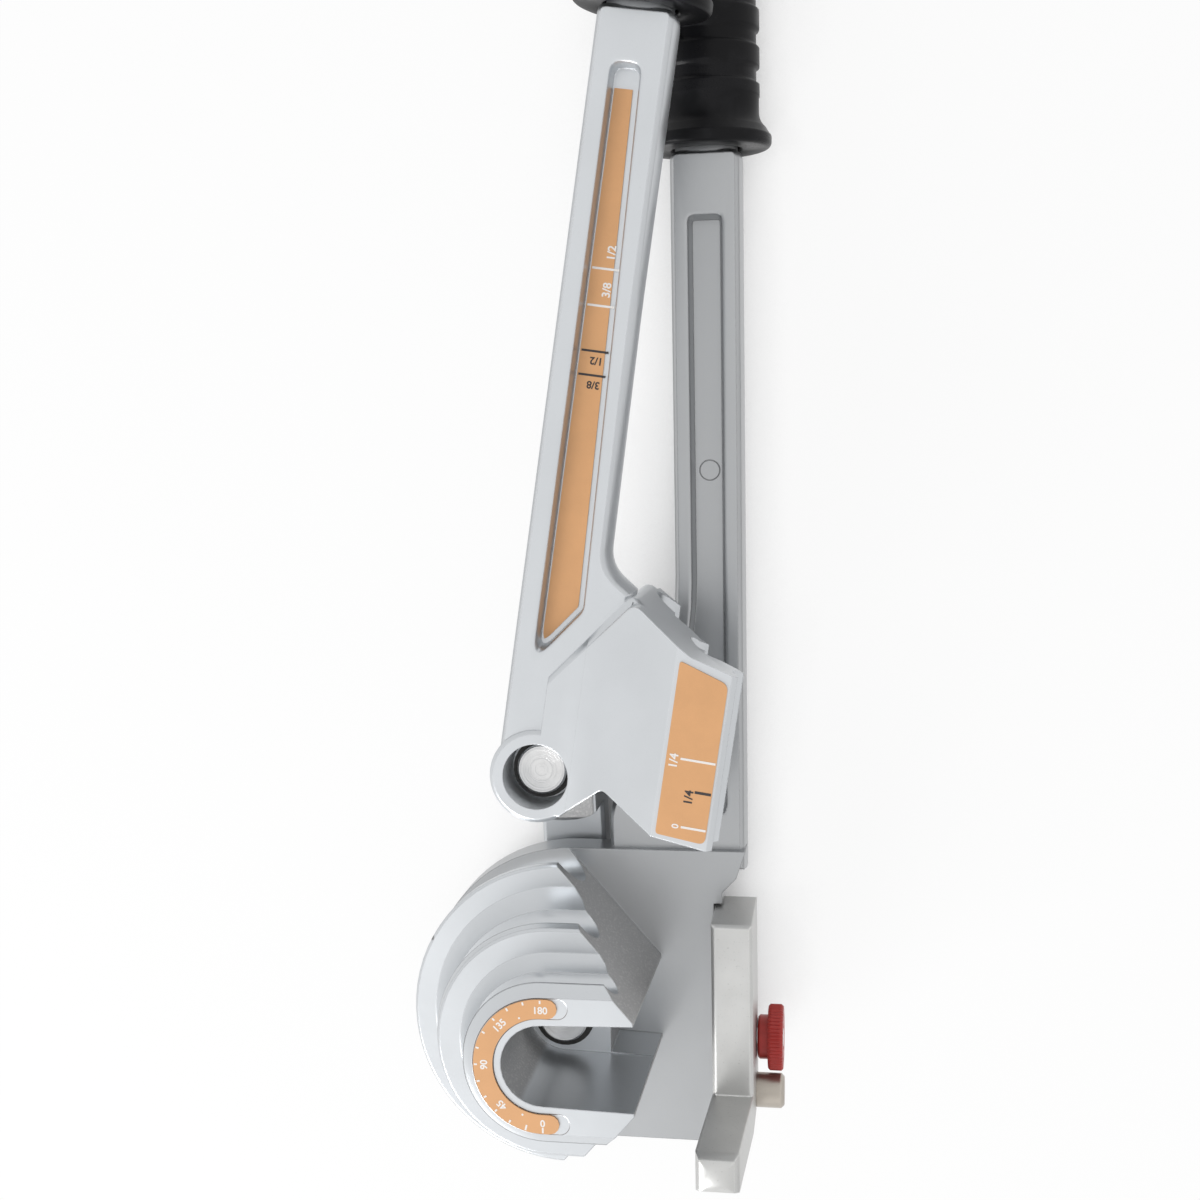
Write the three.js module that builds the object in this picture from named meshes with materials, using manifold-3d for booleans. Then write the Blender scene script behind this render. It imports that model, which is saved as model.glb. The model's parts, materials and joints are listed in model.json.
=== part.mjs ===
// Hand lever tube bender for three tube sizes (1/4, 3/8 and 1/2 inch), millimetres, +Z up.
// The origin lies on the axis of the bending form, in the plane that the tool lies on.
// +Y runs along the fixed handle, and the three bending grooves are stacked along +Z.
import * as THREE from 'three';
import { mergeVertices } from 'three/addons/utils/BufferGeometryUtils.js';
import Module from 'manifold-3d';

const wasm = await Module();
wasm.setup();

// Driving sizes of the tubes, 1/2, 3/8 and 1/4 inch, and of the bends that they take
const tubes = { half: 12.7, threeEighths: 9.525, quarter: 6.35 };
const bendShare = 3; // centre-line radius of each bend, as a multiple of its tube
const bend = {
  half: bendShare * tubes.half,
  threeEighths: bendShare * tubes.threeEighths,
  quarter: bendShare * tubes.quarter,
};

// Clearances
const seat = 0.3; // between pieces that touch or turn on each other
const skin = 0.1; // under a label
const overrun = 2; // past a face that a cut goes through

// Levels
const pinHeadHeight = 3.2;
const armThickness = 8.5;
const washerThickness = 0.8;
const armBottom = pinHeadHeight + seat;
const armTop = armBottom + armThickness;
const plateThickness = 10;
const plateBottom = armTop + seat + washerThickness + seat;
const plateTop = plateBottom + plateThickness;

// Facets of round faces
const facets = { form: 72, pin: 30, grip: 22, knob: 30, corner: 6, groove: 10 };

// Bending form, as steps above the plate
const form = {
  rim: 2.5, // the flange above the half inch groove
  rimEdge: 0.6,
  stepFillet: 4.2, // reach of the cone that rises to the next groove
  upperFillet: 3.2,
  coneRise: 4.4,
  riseShares: [[1, 0], [0.38, 0.36], [0.12, 0.8]], // of the cone's reach and of its rise
  upperRim: 2.5,
  upperRimInset: 0.65,
  topRim: 2.3,
  topInset: 2.25,
  topInsetShare: 0.5, // how far the inset has come at topRiseShare of the top rim
  topRiseShare: 0.3,
  endX: 22.2, // flat end of the legs
  endHalf: 11,
  wedgeX: -1, // where the slanted end starts on the widest step
  endDraft: 1.2,
};
const cavity = { radius: 9.3, flare: 0.7, floorX: 11.2, bossTop: 14 };

// Plate and neck of the body
const plate = {
  slotX: 35.8,
  ledgeX: 37.9,
  ledgeY: 24.6,
  shoulderY: 27.4,
  shoulderShares: { x: 0.6, y: 0.35 }, // of the way from the shoulder to the neck
  neckX: 43.8,
  neckDrop: 2,
  edge: 1.2,
};
const handle = {
  centreX: 35.2,
  width: 17.6,
  thickness: 15,
  sideDraft: 1.5,
  crown: 4,
  lap: 6, // into the plate
  sweep: 24, // the long bend where the neck becomes the handle
  neckShare: 0.2, // of the way from the plate to startY
  pocketNeckShare: 0.12,
  startY: 86,
  endY: 209.9,
  endRound: 2.8,
  rim: 3.8,
  webThickness: 5,
  wallDraft: 0.5,
  lipRound: 1.1, // of the pocket's upper edge
  pocketStartY: 46,
  pocketEndY: 195,
  pocketRound: 2.6,
};
const shank = {
  width: 15.4,
  height: 13.6,
  taper: 1.6,
  length: 92,
  taperShares: [[0, 0], [0.35, 0.5], [0.85, 0.98], [1.6, 1]], // of the taper and of the length
};
const shoulderShare = 0.35; // how soon a cast bar's rounded side meets its face
const lipShares = [[1, 1], [0.7, 0.3], [0, 0]]; // of a pocket edge's round, inwards and downwards

// Rubber grips
const grip = {
  startGap: 0.3,
  length: 112,
  radius: 13,
  flatShare: 0.87, // height to width
  flange: 15.8,
  flangeLength: 5.2,
  flangeLip: 2.8,
  coneShare: 0.3, // of the way from the barrel to the flange
  ribs: 9,
  ribDepth: 0.9,
  ribStart: 16.9,
  ribPitch: 8.6,
  endRound: 6,
  endShares: [[0, 1], [0.3, 0.35], [1, 0]], // of the end's round, inwards and backwards
};

// Link between the form axis and the lever pivot
const link = {
  length: 64,
  width: 16.6,
  rearRadius: 10,
  postRadius: 8.6,
  plateGap: 7.2, // between the post and the form's widest step, for the shoe's rail
  postRise: 1.3, // above the plate
  leanAngle: THREE.MathUtils.degToRad(2.3),
  edge: 1,
};

// Pins, rings and washers
const pin = {
  radius: 6,
  headRadius: 8.2,
  headEdge: 0.8,
  ringGroove: 0.45,
  ringWidth: 1.6,
  ringThickness: 1.1,
  ringMouth: 4.4,
  ringReach: 1.4, // of the ring, past the pin
  leverRingReach: 1.1,
  tip: 1.4,
  tipEdge: 0.5,
  washerRadius: 8.6,
};

// Lever with its forming shoe, in its own frame: u to the shoe, v along the handle
const lever = {
  tiltAngle: THREE.MathUtils.degToRad(11.2),
  bossRadius: 10.9,
  bossTop: 32,
  holeRadius: 7.6,
  pinDepth: 9.4,
  edge: 0.9,
  handleTop: 30.8,
  handleThickness: 15,
  handleLeftU: -9.5,
  handleRightU: 8.6,
  rootLeftU: -10,
  rootRightU: 9.5,
  gripU: -0.5,
  handleEndV: 173.1,
  handleTaperShare: 0.5, // of the way from the shoe's tip to the handle's end
  webShare: 0.8, // of the way from the ridge to the shoe's tip
  sideDraft: 1.6,
  crown: 4,
  pocketDepth: 4.2,
  wallDraft: 0.3,
  lipRound: 1.2, // of the pocket's upper edge
  pocketEndV: 161.5,
  pocketRound: 3.6,
  pocketLeftU: -5.3,
  pocketRightU: 3.4, // at its far end
  pocketPointV: 23.4,
  pocketPointRound: 7,
  pocketShoulderU: 6.8,
  pocketShoulderV: 39.5,
  pocketShoulderRound: 2.4,
  ridgeFromU: -9.9,
  ridgeFromV: 10.5,
  ridgeWidth: 1.8, // of the slope between the handle's top and the shoe's
};
const shoe = {
  seamU: 17, // where the shoe's solid meets the lever's
  clearance: 0.8, // between the shoe's lips and the form's
  groovePlay: 0.1,
  topEdge: 1.2,
  upperLipInset: 0.95,
  topRiseShare: 0.4,
  headroom: 1, // over the form's flanges
  riseShares: { out: 0.3, up: 0.5 }, // of the cone over the form's cone
  wall: 2.4,
  railDrop: 1.2, // the lowest lip hangs this far below the plate
  top: 45,
  slopeU: 8,
  flatWidth: 12.5, // of the top, from its chamfer
  tipV: 45.5,
  tipU: 16.5,
  bendV: 35.6,
  bendWidth: 11.55, // from the outermost lip, as the heel's
  outerV: 32,
  footV: -6.6,
  heelWidth: 14.75,
  heelV: -5.2,
  notchU: 16.4,
  notchV: 1.2,
  bossShares: [[0, -0.8], [0.62, -0.76]], // where the foot's side leaves the boss, of its radius
};

// Hook that holds the tube's end, and its thumb screw
const hook = {
  width: 10,
  restY: -19.2, // inner face of the post
  blockLength: 43,
  blockBottom: plateBottom + seat,
  blockTop: 14,
  postThickness: 9.4,
  postTop: 46,
  postLean: 1.6,
  postRound: 3.4,
  crownShares: [[0, 1], [0.3, 0.3], [0.9, 0]], // of the post's round, inwards and downwards
  tongueDepth: 4,
  tongueMouth: 4.4,
  tongueBack: 6.4,
  edge: 0.8,
};
const knob = {
  y: -11.7,
  radius: 8.2,
  thickness: 3.8,
  hubRadius: 5.5,
  hubLength: 2.6,
  flutes: 15,
  fluteDepth: 0.45,
  screwRadius: 2.5,
  dogRadius: 1.2,
  dogEdge: 0.3,
};
const sidePin = { radius: 4.3, reach: 7, depth: 5, edge: 0.8, above: 8, drop: 0.5 };

// Labels
const label = {
  thickness: 0.3,
  dialOuter: 15.9,
  dialInner: 11.4,
  dialEndX: 1.6,
  gapToWall: 0.4,
  handleBareStrip: 0.9, // of the pocket's floor, on the label's right
  handleMargin: 6,
  shoeMargin: 1,
  shoeBareStrip: 0.9, // of the shoe's top, on the label's left
  corner: 0.8,
};

const material = (color, roughness, metalness) =>
  new THREE.MeshStandardMaterial({ color, roughness, metalness });
const finishes = {
  casting: material('#c0c4c8', 0.42, 0.75),
  steel: material('#b9bbbd', 0.25, 1),
  blackSteel: material('#1b1b1c', 0.45, 0.8),
  rubber: material('#1d1d1e', 0.7, 0),
  orange: material('#d98b3a', 0.5, 0),
  red: material('#a82820', 0.45, 0.2),
};

// Solids
const toSolid = (geometry) => {
  const bare = geometry.clone();
  bare.deleteAttribute('normal');
  bare.deleteAttribute('uv');
  const welded = mergeVertices(bare, 1e-4);
  return new wasm.Manifold(
    new wasm.Mesh({
      numProp: 3,
      vertProperties: welded.attributes.position.array,
      triVerts: new Uint32Array(welded.index.array),
    }),
  );
};

const addPiece = (parent, name, solid, finish) => {
  const { vertProperties, triVerts } = solid.getMesh();
  const geometry = new THREE.BufferGeometry();
  geometry.setAttribute('position', new THREE.BufferAttribute(vertProperties, 3));
  geometry.setIndex(new THREE.BufferAttribute(triVerts, 1));
  geometry.computeVertexNormals();
  const mesh = new THREE.Mesh(geometry, finish);
  mesh.name = name;
  parent.add(mesh);
  return mesh;
};

const point = (x, y) => new THREE.Vector2(x, y);

// Drops the corners that lie on a straight run or on each other
const straighten = (outline) => outline.filter((here, i) => {
  const before = outline[(i + outline.length - 1) % outline.length];
  const after = outline[(i + 1) % outline.length];
  return Math.abs(here.clone().sub(before).cross(after.clone().sub(here))) > 1e-6;
});
const along = (a, b, share) => a + (b - a) * share;

// Moves an outline's corners inwards by a distance, keeping their number
const sharpestMitreShare = 0.3; // how far a very sharp corner's own move is held back
const inset = (outline, distance) =>
  outline.map((corner, i) => {
    const before = outline[(i + outline.length - 1) % outline.length];
    const after = outline[(i + 1) % outline.length];
    const a = corner.clone().sub(before).normalize();
    const b = after.clone().sub(corner).normalize();
    const mitre = point(-a.y - b.y, a.x + b.x).normalize();
    const cosine = Math.max(mitre.x * -a.y + mitre.y * a.x, sharpestMitreShare);
    return corner.clone().addScaledVector(mitre, distance / cosine);
  });

// A closed solid through outlines of equal length, each at its own height
const loft = (sections) => {
  const count = sections[0].outline.length;
  const positions = sections.flatMap(({ outline, z }) => outline.flatMap((p) => [p.x, p.y, z]));
  const index = [];
  for (let level = 0; level + 1 < sections.length; level += 1) {
    for (let i = 0; i < count; i += 1) {
      const low = level * count;
      const next = (i + 1) % count;
      index.push(low + i, low + next, low + count + next, low + i, low + count + next, low + count + i);
    }
  }
  const first = sections[0].outline;
  const last = sections[sections.length - 1].outline;
  const top = (sections.length - 1) * count;
  THREE.ShapeUtils.triangulateShape(first, []).forEach(([a, b, c]) => index.push(c, b, a));
  THREE.ShapeUtils.triangulateShape(last, []).forEach(([a, b, c]) => index.push(top + a, top + b, top + c));
  const geometry = new THREE.BufferGeometry();
  geometry.setAttribute('position', new THREE.Float32BufferAttribute(positions, 3));
  geometry.setIndex(index);
  return geometry;
};

// A corner-first outline made anticlockwise, with each corner rounded as asked
const outlineOf = (corners) => {
  const path = [];
  corners.forEach(({ x, y, round = 0 }, i) => {
    const here = point(x, y);
    if (round === 0) {
      path.push(here);
      return;
    }
    const before = corners[(i + corners.length - 1) % corners.length];
    const after = corners[(i + 1) % corners.length];
    const back = point(before.x, before.y).sub(here);
    const on = point(after.x, after.y).sub(here);
    const reach = Math.min(round, back.length() / 2, on.length() / 2);
    const start = here.clone().addScaledVector(back.normalize(), reach);
    const end = here.clone().addScaledVector(on.normalize(), reach);
    path.push(...new THREE.QuadraticBezierCurve(start, here, end).getPoints(facets.corner));
  });
  return straighten(THREE.ShapeUtils.isClockWise(path) ? path.reverse() : path);
};

const prism = (outline, low, high) => {
  const clean = straighten(outline);
  return toSolid(loft([{ outline: clean, z: low }, { outline: clean, z: high }]));
};

// A slab whose two edges are chamfered
const slab = (outline, low, high, edge) =>
  toSolid(loft([
    { outline: inset(outline, edge), z: low },
    { outline, z: low + edge },
    { outline, z: high - edge },
    { outline: inset(outline, edge), z: high },
  ]));

// A cast bar: widest at half height, drafted and crowned to its two faces
const castBar = (outline, low, high, draft, crown) => {
  const middle = along(low, high, 0.5);
  return toSolid(loft([
    { outline: inset(outline, draft), z: low },
    { outline: inset(outline, draft * shoulderShare), z: low + crown * shoulderShare },
    { outline, z: middle - crown * shoulderShare },
    { outline, z: middle + crown * shoulderShare },
    { outline: inset(outline, draft * shoulderShare), z: high - crown * shoulderShare },
    { outline: inset(outline, draft), z: high },
  ]));
};

// What a pocket takes away, from its floor out through its mouth, with a rounded edge there.
// Its mouth is a function that gives the outline, moved inwards by a distance.
const pocketCut = (mouth, floorZ, mouthZ, { lipRound, wallDraft }) => {
  const outwards = Math.sign(mouthZ - floorZ);
  const sections = [
    { outline: mouth(lipRound + wallDraft), z: floorZ },
    ...lipShares.map(([inwards, down]) => (
      { outline: mouth(lipRound * inwards), z: mouthZ - outwards * lipRound * down })),
    { outline: mouth(0), z: mouthZ + outwards * overrun },
  ];
  return toSolid(loft(outwards > 0 ? sections : sections.reverse()));
};

const circle = (radius, count, cx = 0, cy = 0) =>
  Array.from({ length: count }, (_, i) => {
    const angle = (2 * Math.PI * i) / count;
    return point(cx + radius * Math.cos(angle), cy + radius * Math.sin(angle));
  });

const disc = (radius, low, high, cx = 0, cy = 0, count = facets.pin) =>
  prism(circle(radius, count, cx, cy), low, high);

const arcPoints = (cx, cy, radius, from, to, count) =>
  Array.from({ length: count + 1 }, (_, i) => {
    const angle = from + ((to - from) * i) / count;
    return point(cx + radius * Math.cos(angle), cy + radius * Math.sin(angle));
  });

const revolve = (profile, count) => {
  const geometry = new THREE.LatheGeometry(profile, count);
  geometry.rotateX(Math.PI / 2);
  return toSolid(geometry);
};

// Turns a solid's own +Z to the tool's +X or +Y
const turnToX = new THREE.Matrix4().makeBasis(
  new THREE.Vector3(0, 1, 0), new THREE.Vector3(0, 0, 1), new THREE.Vector3(1, 0, 0));
const turnToY = new THREE.Matrix4().makeRotationX(-Math.PI / 2);

// Heights of the three grooves' centres above the plate, bottom to top
const grooveAt = {
  half: tubes.half / 2,
};
grooveAt.rimTop = tubes.half + form.rim;
grooveAt.threeEighths = grooveAt.rimTop + form.coneRise + seat * 2 + tubes.threeEighths / 2;
grooveAt.stepTop = grooveAt.threeEighths + tubes.threeEighths / 2 + form.upperRim;
grooveAt.quarter = grooveAt.stepTop + form.coneRise - seat + tubes.quarter / 2;
grooveAt.top = grooveAt.quarter + tubes.quarter / 2 + form.topRim;

// The form's outer profile as radius and height above the plate, from the plate to the top
const formProfile = () => {
  const groove = (radius, height, tube) =>
    arcPoints(radius, height, tube / 2, -Math.PI / 2, (-3 * Math.PI) / 2, facets.groove);
  const { half, threeEighths, quarter } = bend;
  const { rimEdge, topInset } = form;
  const upperLip = threeEighths - form.upperRimInset;
  const topLip = grooveAt.quarter + tubes.quarter / 2;
  const rise = (radius, reach, low, high) =>
    form.riseShares.map(([out, up]) => point(radius + reach * out, along(low, high, up)));
  return [
    ...groove(half, grooveAt.half, tubes.half),
    point(half, grooveAt.rimTop - rimEdge),
    point(half - rimEdge, grooveAt.rimTop),
    ...rise(threeEighths, form.stepFillet, grooveAt.rimTop, grooveAt.threeEighths - tubes.threeEighths / 2),
    ...groove(threeEighths, grooveAt.threeEighths, tubes.threeEighths),
    point(upperLip, grooveAt.stepTop - form.upperRim / 2),
    point(upperLip, grooveAt.stepTop - rimEdge),
    point(upperLip - rimEdge, grooveAt.stepTop),
    ...rise(quarter, form.upperFillet, grooveAt.stepTop, grooveAt.quarter - tubes.quarter / 2),
    ...groove(quarter, grooveAt.quarter, tubes.quarter),
    point(quarter - topInset * form.topInsetShare, along(topLip, grooveAt.top, form.topRiseShare)),
    point(quarter - topInset, grooveAt.top - rimEdge),
    point(quarter - topInset - rimEdge, grooveAt.top),
  ].map((p) => point(p.x, plateTop + p.y));
};

// The stacked form is one casting with the body, but has a solid of its own, which stands on
// the plate, so that its collision follows the grooves
const makeSteps = () => {
  const rightSide = formProfile();
  const round = revolve(
    [point(0, plateTop), ...rightSide, point(0, plateTop + grooveAt.top)], facets.form);
  const leftSide = rightSide.map((p) => point(-p.x, p.y)).reverse();
  const legs = loft([
    { outline: [...rightSide, ...leftSide], z: 0 },
    { outline: [...rightSide, ...leftSide], z: bend.half },
  ]).applyMatrix4(turnToX);
  const slope = (form.endX - form.wedgeX) / (bend.half - form.endHalf);
  const farY = bend.half + overrun;
  const farX = form.wedgeX - overrun * slope;
  const wedge = (draft) => [
    point(-bend.half - overrun, -farY), point(farX - draft, -farY),
    point(form.endX - draft, -form.endHalf), point(form.endX - draft, form.endHalf),
    point(farX - draft, farY), point(-bend.half - overrun, farY),
  ];
  const top = plateTop + grooveAt.top;
  const keep = toSolid(loft([
    { outline: wedge(0), z: plateTop - overrun },
    { outline: wedge(0), z: plateTop },
    { outline: wedge(form.endDraft), z: top + overrun },
  ]));
  return round.add(toSolid(legs)).intersect(keep);
};

const makeCavity = () => {
  const { radius, flare, floorX, bossTop } = cavity;
  const open = form.endX + overrun;
  const mouth = (grow) => [
    point(open, -radius - flare - grow), point(open, radius + flare + grow),
    ...arcPoints(0, 0, radius + grow, Math.PI / 2, (3 * Math.PI) / 2, facets.pin / 2),
  ];
  const top = plateTop + grooveAt.top;
  const bowl = toSolid(loft([
    { outline: mouth(0), z: plateTop + bossTop },
    { outline: mouth(seat), z: top + overrun },
  ]));
  const gate = prism([
    point(floorX, -radius), point(open, -radius - flare),
    point(open, radius + flare), point(floorX, radius),
  ], plateTop - overrun, plateTop + bossTop + overrun);
  return bowl.add(gate);
};

const makeForm = () => makeSteps()
  .subtract(makeCavity())
  .subtract(pinBore(plateTop - overrun, plateTop + cavity.bossTop + overrun));

const makePlate = () => {
  const { slotX, ledgeX, ledgeY, shoulderY, shoulderShares, neckX, edge } = plate;
  const chin = arcPoints(0, 0, bend.half, Math.PI / 2, (3 * Math.PI) / 2, facets.form / 2);
  const outline = [
    ...chin,
    point(slotX, -bend.half), point(slotX, ledgeY), point(ledgeX, ledgeY), point(ledgeX, shoulderY),
    point(along(ledgeX, neckX, shoulderShares.x), along(shoulderY, bend.half, shoulderShares.y)),
    point(neckX, bend.half),
  ];
  const low = plateBottom;
  return toSolid(loft([
    { outline: inset(outline, edge), z: low },
    { outline, z: low + edge },
    { outline, z: plateTop },
  ]));
};

const handleTop = plateTop - plate.neckDrop;
const handleBottom = handleTop - handle.thickness;
const handleLeft = handle.centreX - handle.width / 2;
const handleRight = handle.centreX + handle.width / 2;

const makeHandle = () => {
  const neckLeft = link.width / 2 + seat * 2;
  const rootY = bend.half - handle.lap;
  const outline = outlineOf([
    { x: neckLeft, y: rootY },
    { x: plate.neckX, y: rootY },
    { x: handleRight, y: handle.startY, round: handle.sweep },
    { x: handleRight, y: handle.endY, round: handle.endRound },
    { x: handleLeft, y: handle.endY, round: handle.endRound },
    { x: handleLeft, y: handle.startY, round: handle.sweep },
    { x: neckLeft, y: along(bend.half, handle.startY, handle.neckShare), round: handle.rim },
  ]);
  const bar = castBar(outline, handleBottom, handleTop, handle.sideDraft, handle.crown);
  const { rim, pocketStartY, pocketEndY, pocketRound } = handle;
  const pocket = outlineOf([
    { x: neckLeft + rim, y: pocketStartY, round: rim },
    { x: plate.neckX - rim, y: pocketStartY, round: rim },
    { x: handleRight - rim, y: handle.startY, round: handle.sweep },
    { x: handleRight - rim, y: pocketEndY, round: pocketRound },
    { x: handleLeft + rim, y: pocketEndY, round: pocketRound },
    { x: handleLeft + rim, y: handle.startY, round: handle.sweep },
    { x: neckLeft + rim, y: along(pocketStartY, handle.startY, handle.pocketNeckShare), round: rim },
  ]);
  const middle = along(handleBottom, handleTop, 0.5);
  const web = handle.webThickness / 2;
  const mouth = (distance) => inset(pocket, distance);
  const pocketOf = (floorZ, mouthZ) => pocketCut(mouth, floorZ, mouthZ, handle);
  return bar.subtract(pocketOf(middle + web, handleTop)).subtract(pocketOf(middle - web, handleBottom));
};

// A rounded bar that a grip is pushed on, along +Y from a start point
const makeShank = (startX, startY, centreZ, { width, height, taper, length, taperShares }) => {
  const section = (share) => {
    const halfWidth = width / 2 - taper * share;
    const halfHeight = height / 2 - taper * share;
    return outlineOf([
      { x: -halfWidth, y: -halfHeight, round: halfHeight },
      { x: halfWidth, y: -halfHeight, round: halfHeight },
      { x: halfWidth, y: halfHeight, round: halfHeight },
      { x: -halfWidth, y: halfHeight, round: halfHeight },
    ]);
  };
  const geometry = loft(
    taperShares.map(([drawn, reach]) => ({ outline: section(drawn), z: length * reach })));
  geometry.applyMatrix4(turnToY).translate(startX, startY, centreZ);
  return toSolid(geometry);
};

const pinBore = (low, high, cx = 0, cy = 0) => disc(pin.radius + seat, low, high, cx, cy);

// The dovetail along the slot edge, as body groove or hook tongue, from one Y to another
const dovetailZ = along(plateBottom, plateTop, 0.5);
const dovetail = (fromY, toY, grow) => {
  const { tongueDepth, tongueMouth, tongueBack } = hook;
  const mouthX = plate.slotX + seat + grow * 2;
  const backX = plate.slotX - tongueDepth - grow;
  const mouth = tongueMouth / 2 + grow;
  const back = tongueBack / 2 + grow;
  const z = dovetailZ;
  const outline = [
    point(mouthX, -z - mouth), point(mouthX, -z + mouth),
    point(backX, -z + back), point(backX, -z - back),
  ];
  const geometry = loft([{ outline, z: fromY }, { outline, z: toY }]).applyMatrix4(turnToY);
  return toSolid(geometry);
};

const makeBody = () => {
  const shankZ = along(handleBottom, handleTop, 0.5);
  return makePlate()
    .add(makeHandle())
    .add(makeShank(handle.centreX, handle.endY - handle.rim, shankZ, shank))
    .subtract(pinBore(plateBottom - overrun, plateTop + overrun))
    .subtract(dovetail(-bend.half - overrun, plate.ledgeY + overrun / 2, seat));
};

// Rubber grip around a shank, closed at its far end, along +Y
const makeGrip = (startX, startY, centreZ, socketLength) => {
  const g = grip;
  const ribs = Array.from({ length: g.ribs * 2 + 1 }, (_, i) =>
    point(g.radius - (i % 2 ? 0 : g.ribDepth), g.ribStart + (i * g.ribPitch) / 2));
  const profile = [
    point(0, 0), point(g.flange - g.flangeLip / 2, 0), point(g.flange, g.flangeLip / 2),
    point(g.flange, g.flangeLip), point(along(g.radius, g.flange, g.coneShare), g.flangeLength),
    point(g.radius, g.flangeLength + g.flangeLip), point(g.radius, g.ribStart - g.ribPitch / 2),
    ...ribs,
    ...g.endShares.map(([inwards, back]) =>
      point(g.radius - g.endRound * inwards, g.length - g.endRound * back)),
    point(0, g.length),
  ];
  const body = new THREE.LatheGeometry(profile, facets.grip);
  body.scale(1, 1, g.flatShare);
  body.translate(startX, startY, centreZ);
  const socket = makeShank(startX, startY - overrun, centreZ, {
    ...shank,
    width: shank.width + seat * 2,
    height: shank.height + seat * 2,
    length: socketLength,
  });
  return toSolid(body).subtract(socket);
};

// A headed pin that stands on its head, with a groove for its retaining ring
const makePin = (top, cx = 0, cy = 0) => {
  const { radius, headRadius, headEdge, ringGroove, ringWidth, tip, tipEdge } = pin;
  const ringLow = top - tip - ringWidth;
  const profile = [
    point(0, 0), point(headRadius - headEdge, 0), point(headRadius, headEdge),
    point(headRadius, pinHeadHeight), point(radius, pinHeadHeight),
    point(radius, ringLow), point(radius - ringGroove, ringLow),
    point(radius - ringGroove, ringLow + ringWidth), point(radius, ringLow + ringWidth),
    point(radius, top - tipEdge), point(radius - tipEdge, top), point(0, top),
  ];
  return revolve(profile, facets.pin).translate([cx, cy, 0]);
};

// A split ring in the pin's groove
const makeRing = (top, outerRadius, cx = 0, cy = 0) => {
  const ringLow = top - pin.tip - pin.ringWidth + (pin.ringWidth - pin.ringThickness) / 2;
  const ringHigh = ringLow + pin.ringThickness;
  const inner = pin.radius - pin.ringGroove + seat / 2;
  const mouth = prism(
    [point(0, -pin.ringMouth / 2), point(outerRadius + overrun, -pin.ringMouth / 2),
      point(outerRadius + overrun, pin.ringMouth / 2), point(0, pin.ringMouth / 2)],
    ringLow - overrun, ringHigh + overrun);
  return disc(outerRadius, ringLow, ringHigh)
    .subtract(disc(inner, ringLow - overrun, ringHigh + overrun))
    .subtract(mouth)
    .translate([cx, cy, 0]);
};

const makeWasher = (low, cx = 0, cy = 0) =>
  disc(pin.washerRadius, low, low + washerThickness, cx, cy)
    .subtract(pinBore(low - overrun, low + washerThickness + overrun, cx, cy));

const centrePinTop = plateTop + cavity.bossTop + seat + pin.ringWidth + pin.tip;
const postTop = plateTop + link.postRise;
const leverBottom = postTop + seat + washerThickness + seat;
const leverPinTop = plateTop + lever.bossTop - lever.pinDepth + pin.tip;

// Link: a flat arm under the plate that rises to a post under the lever
const postFront = link.length - bend.half - link.plateGap; // from the pivot towards the form
const makeLink = () => {
  const half = link.width / 2;
  const side = (radius) => Math.asin(half / radius);
  const rear = arcPoints(0, 0, link.rearRadius, Math.PI / 2 + side(link.rearRadius),
    2.5 * Math.PI - side(link.rearRadius), facets.pin / 2);
  const cheek = Math.acos(half / link.postRadius);
  const nose = arcPoints(0, link.length, link.postRadius, -cheek, Math.PI + cheek, facets.pin / 2);
  const arm = slab([...rear, ...nose], armBottom, armTop, link.edge);
  const postOutline = [
    point(-half, link.length - postFront), point(half, link.length - postFront), ...nose,
  ];
  const reach = disc(postFront, armTop - link.edge * 2, postTop, 0, link.length, facets.form / 2);
  const post = slab(postOutline, armTop - link.edge * 2, postTop, link.edge).intersect(reach);
  return arm.add(post)
    .subtract(pinBore(armBottom - overrun, armTop + overrun))
    .subtract(pinBore(armBottom - overrun, postTop + overrun, 0, link.length));
};

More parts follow.
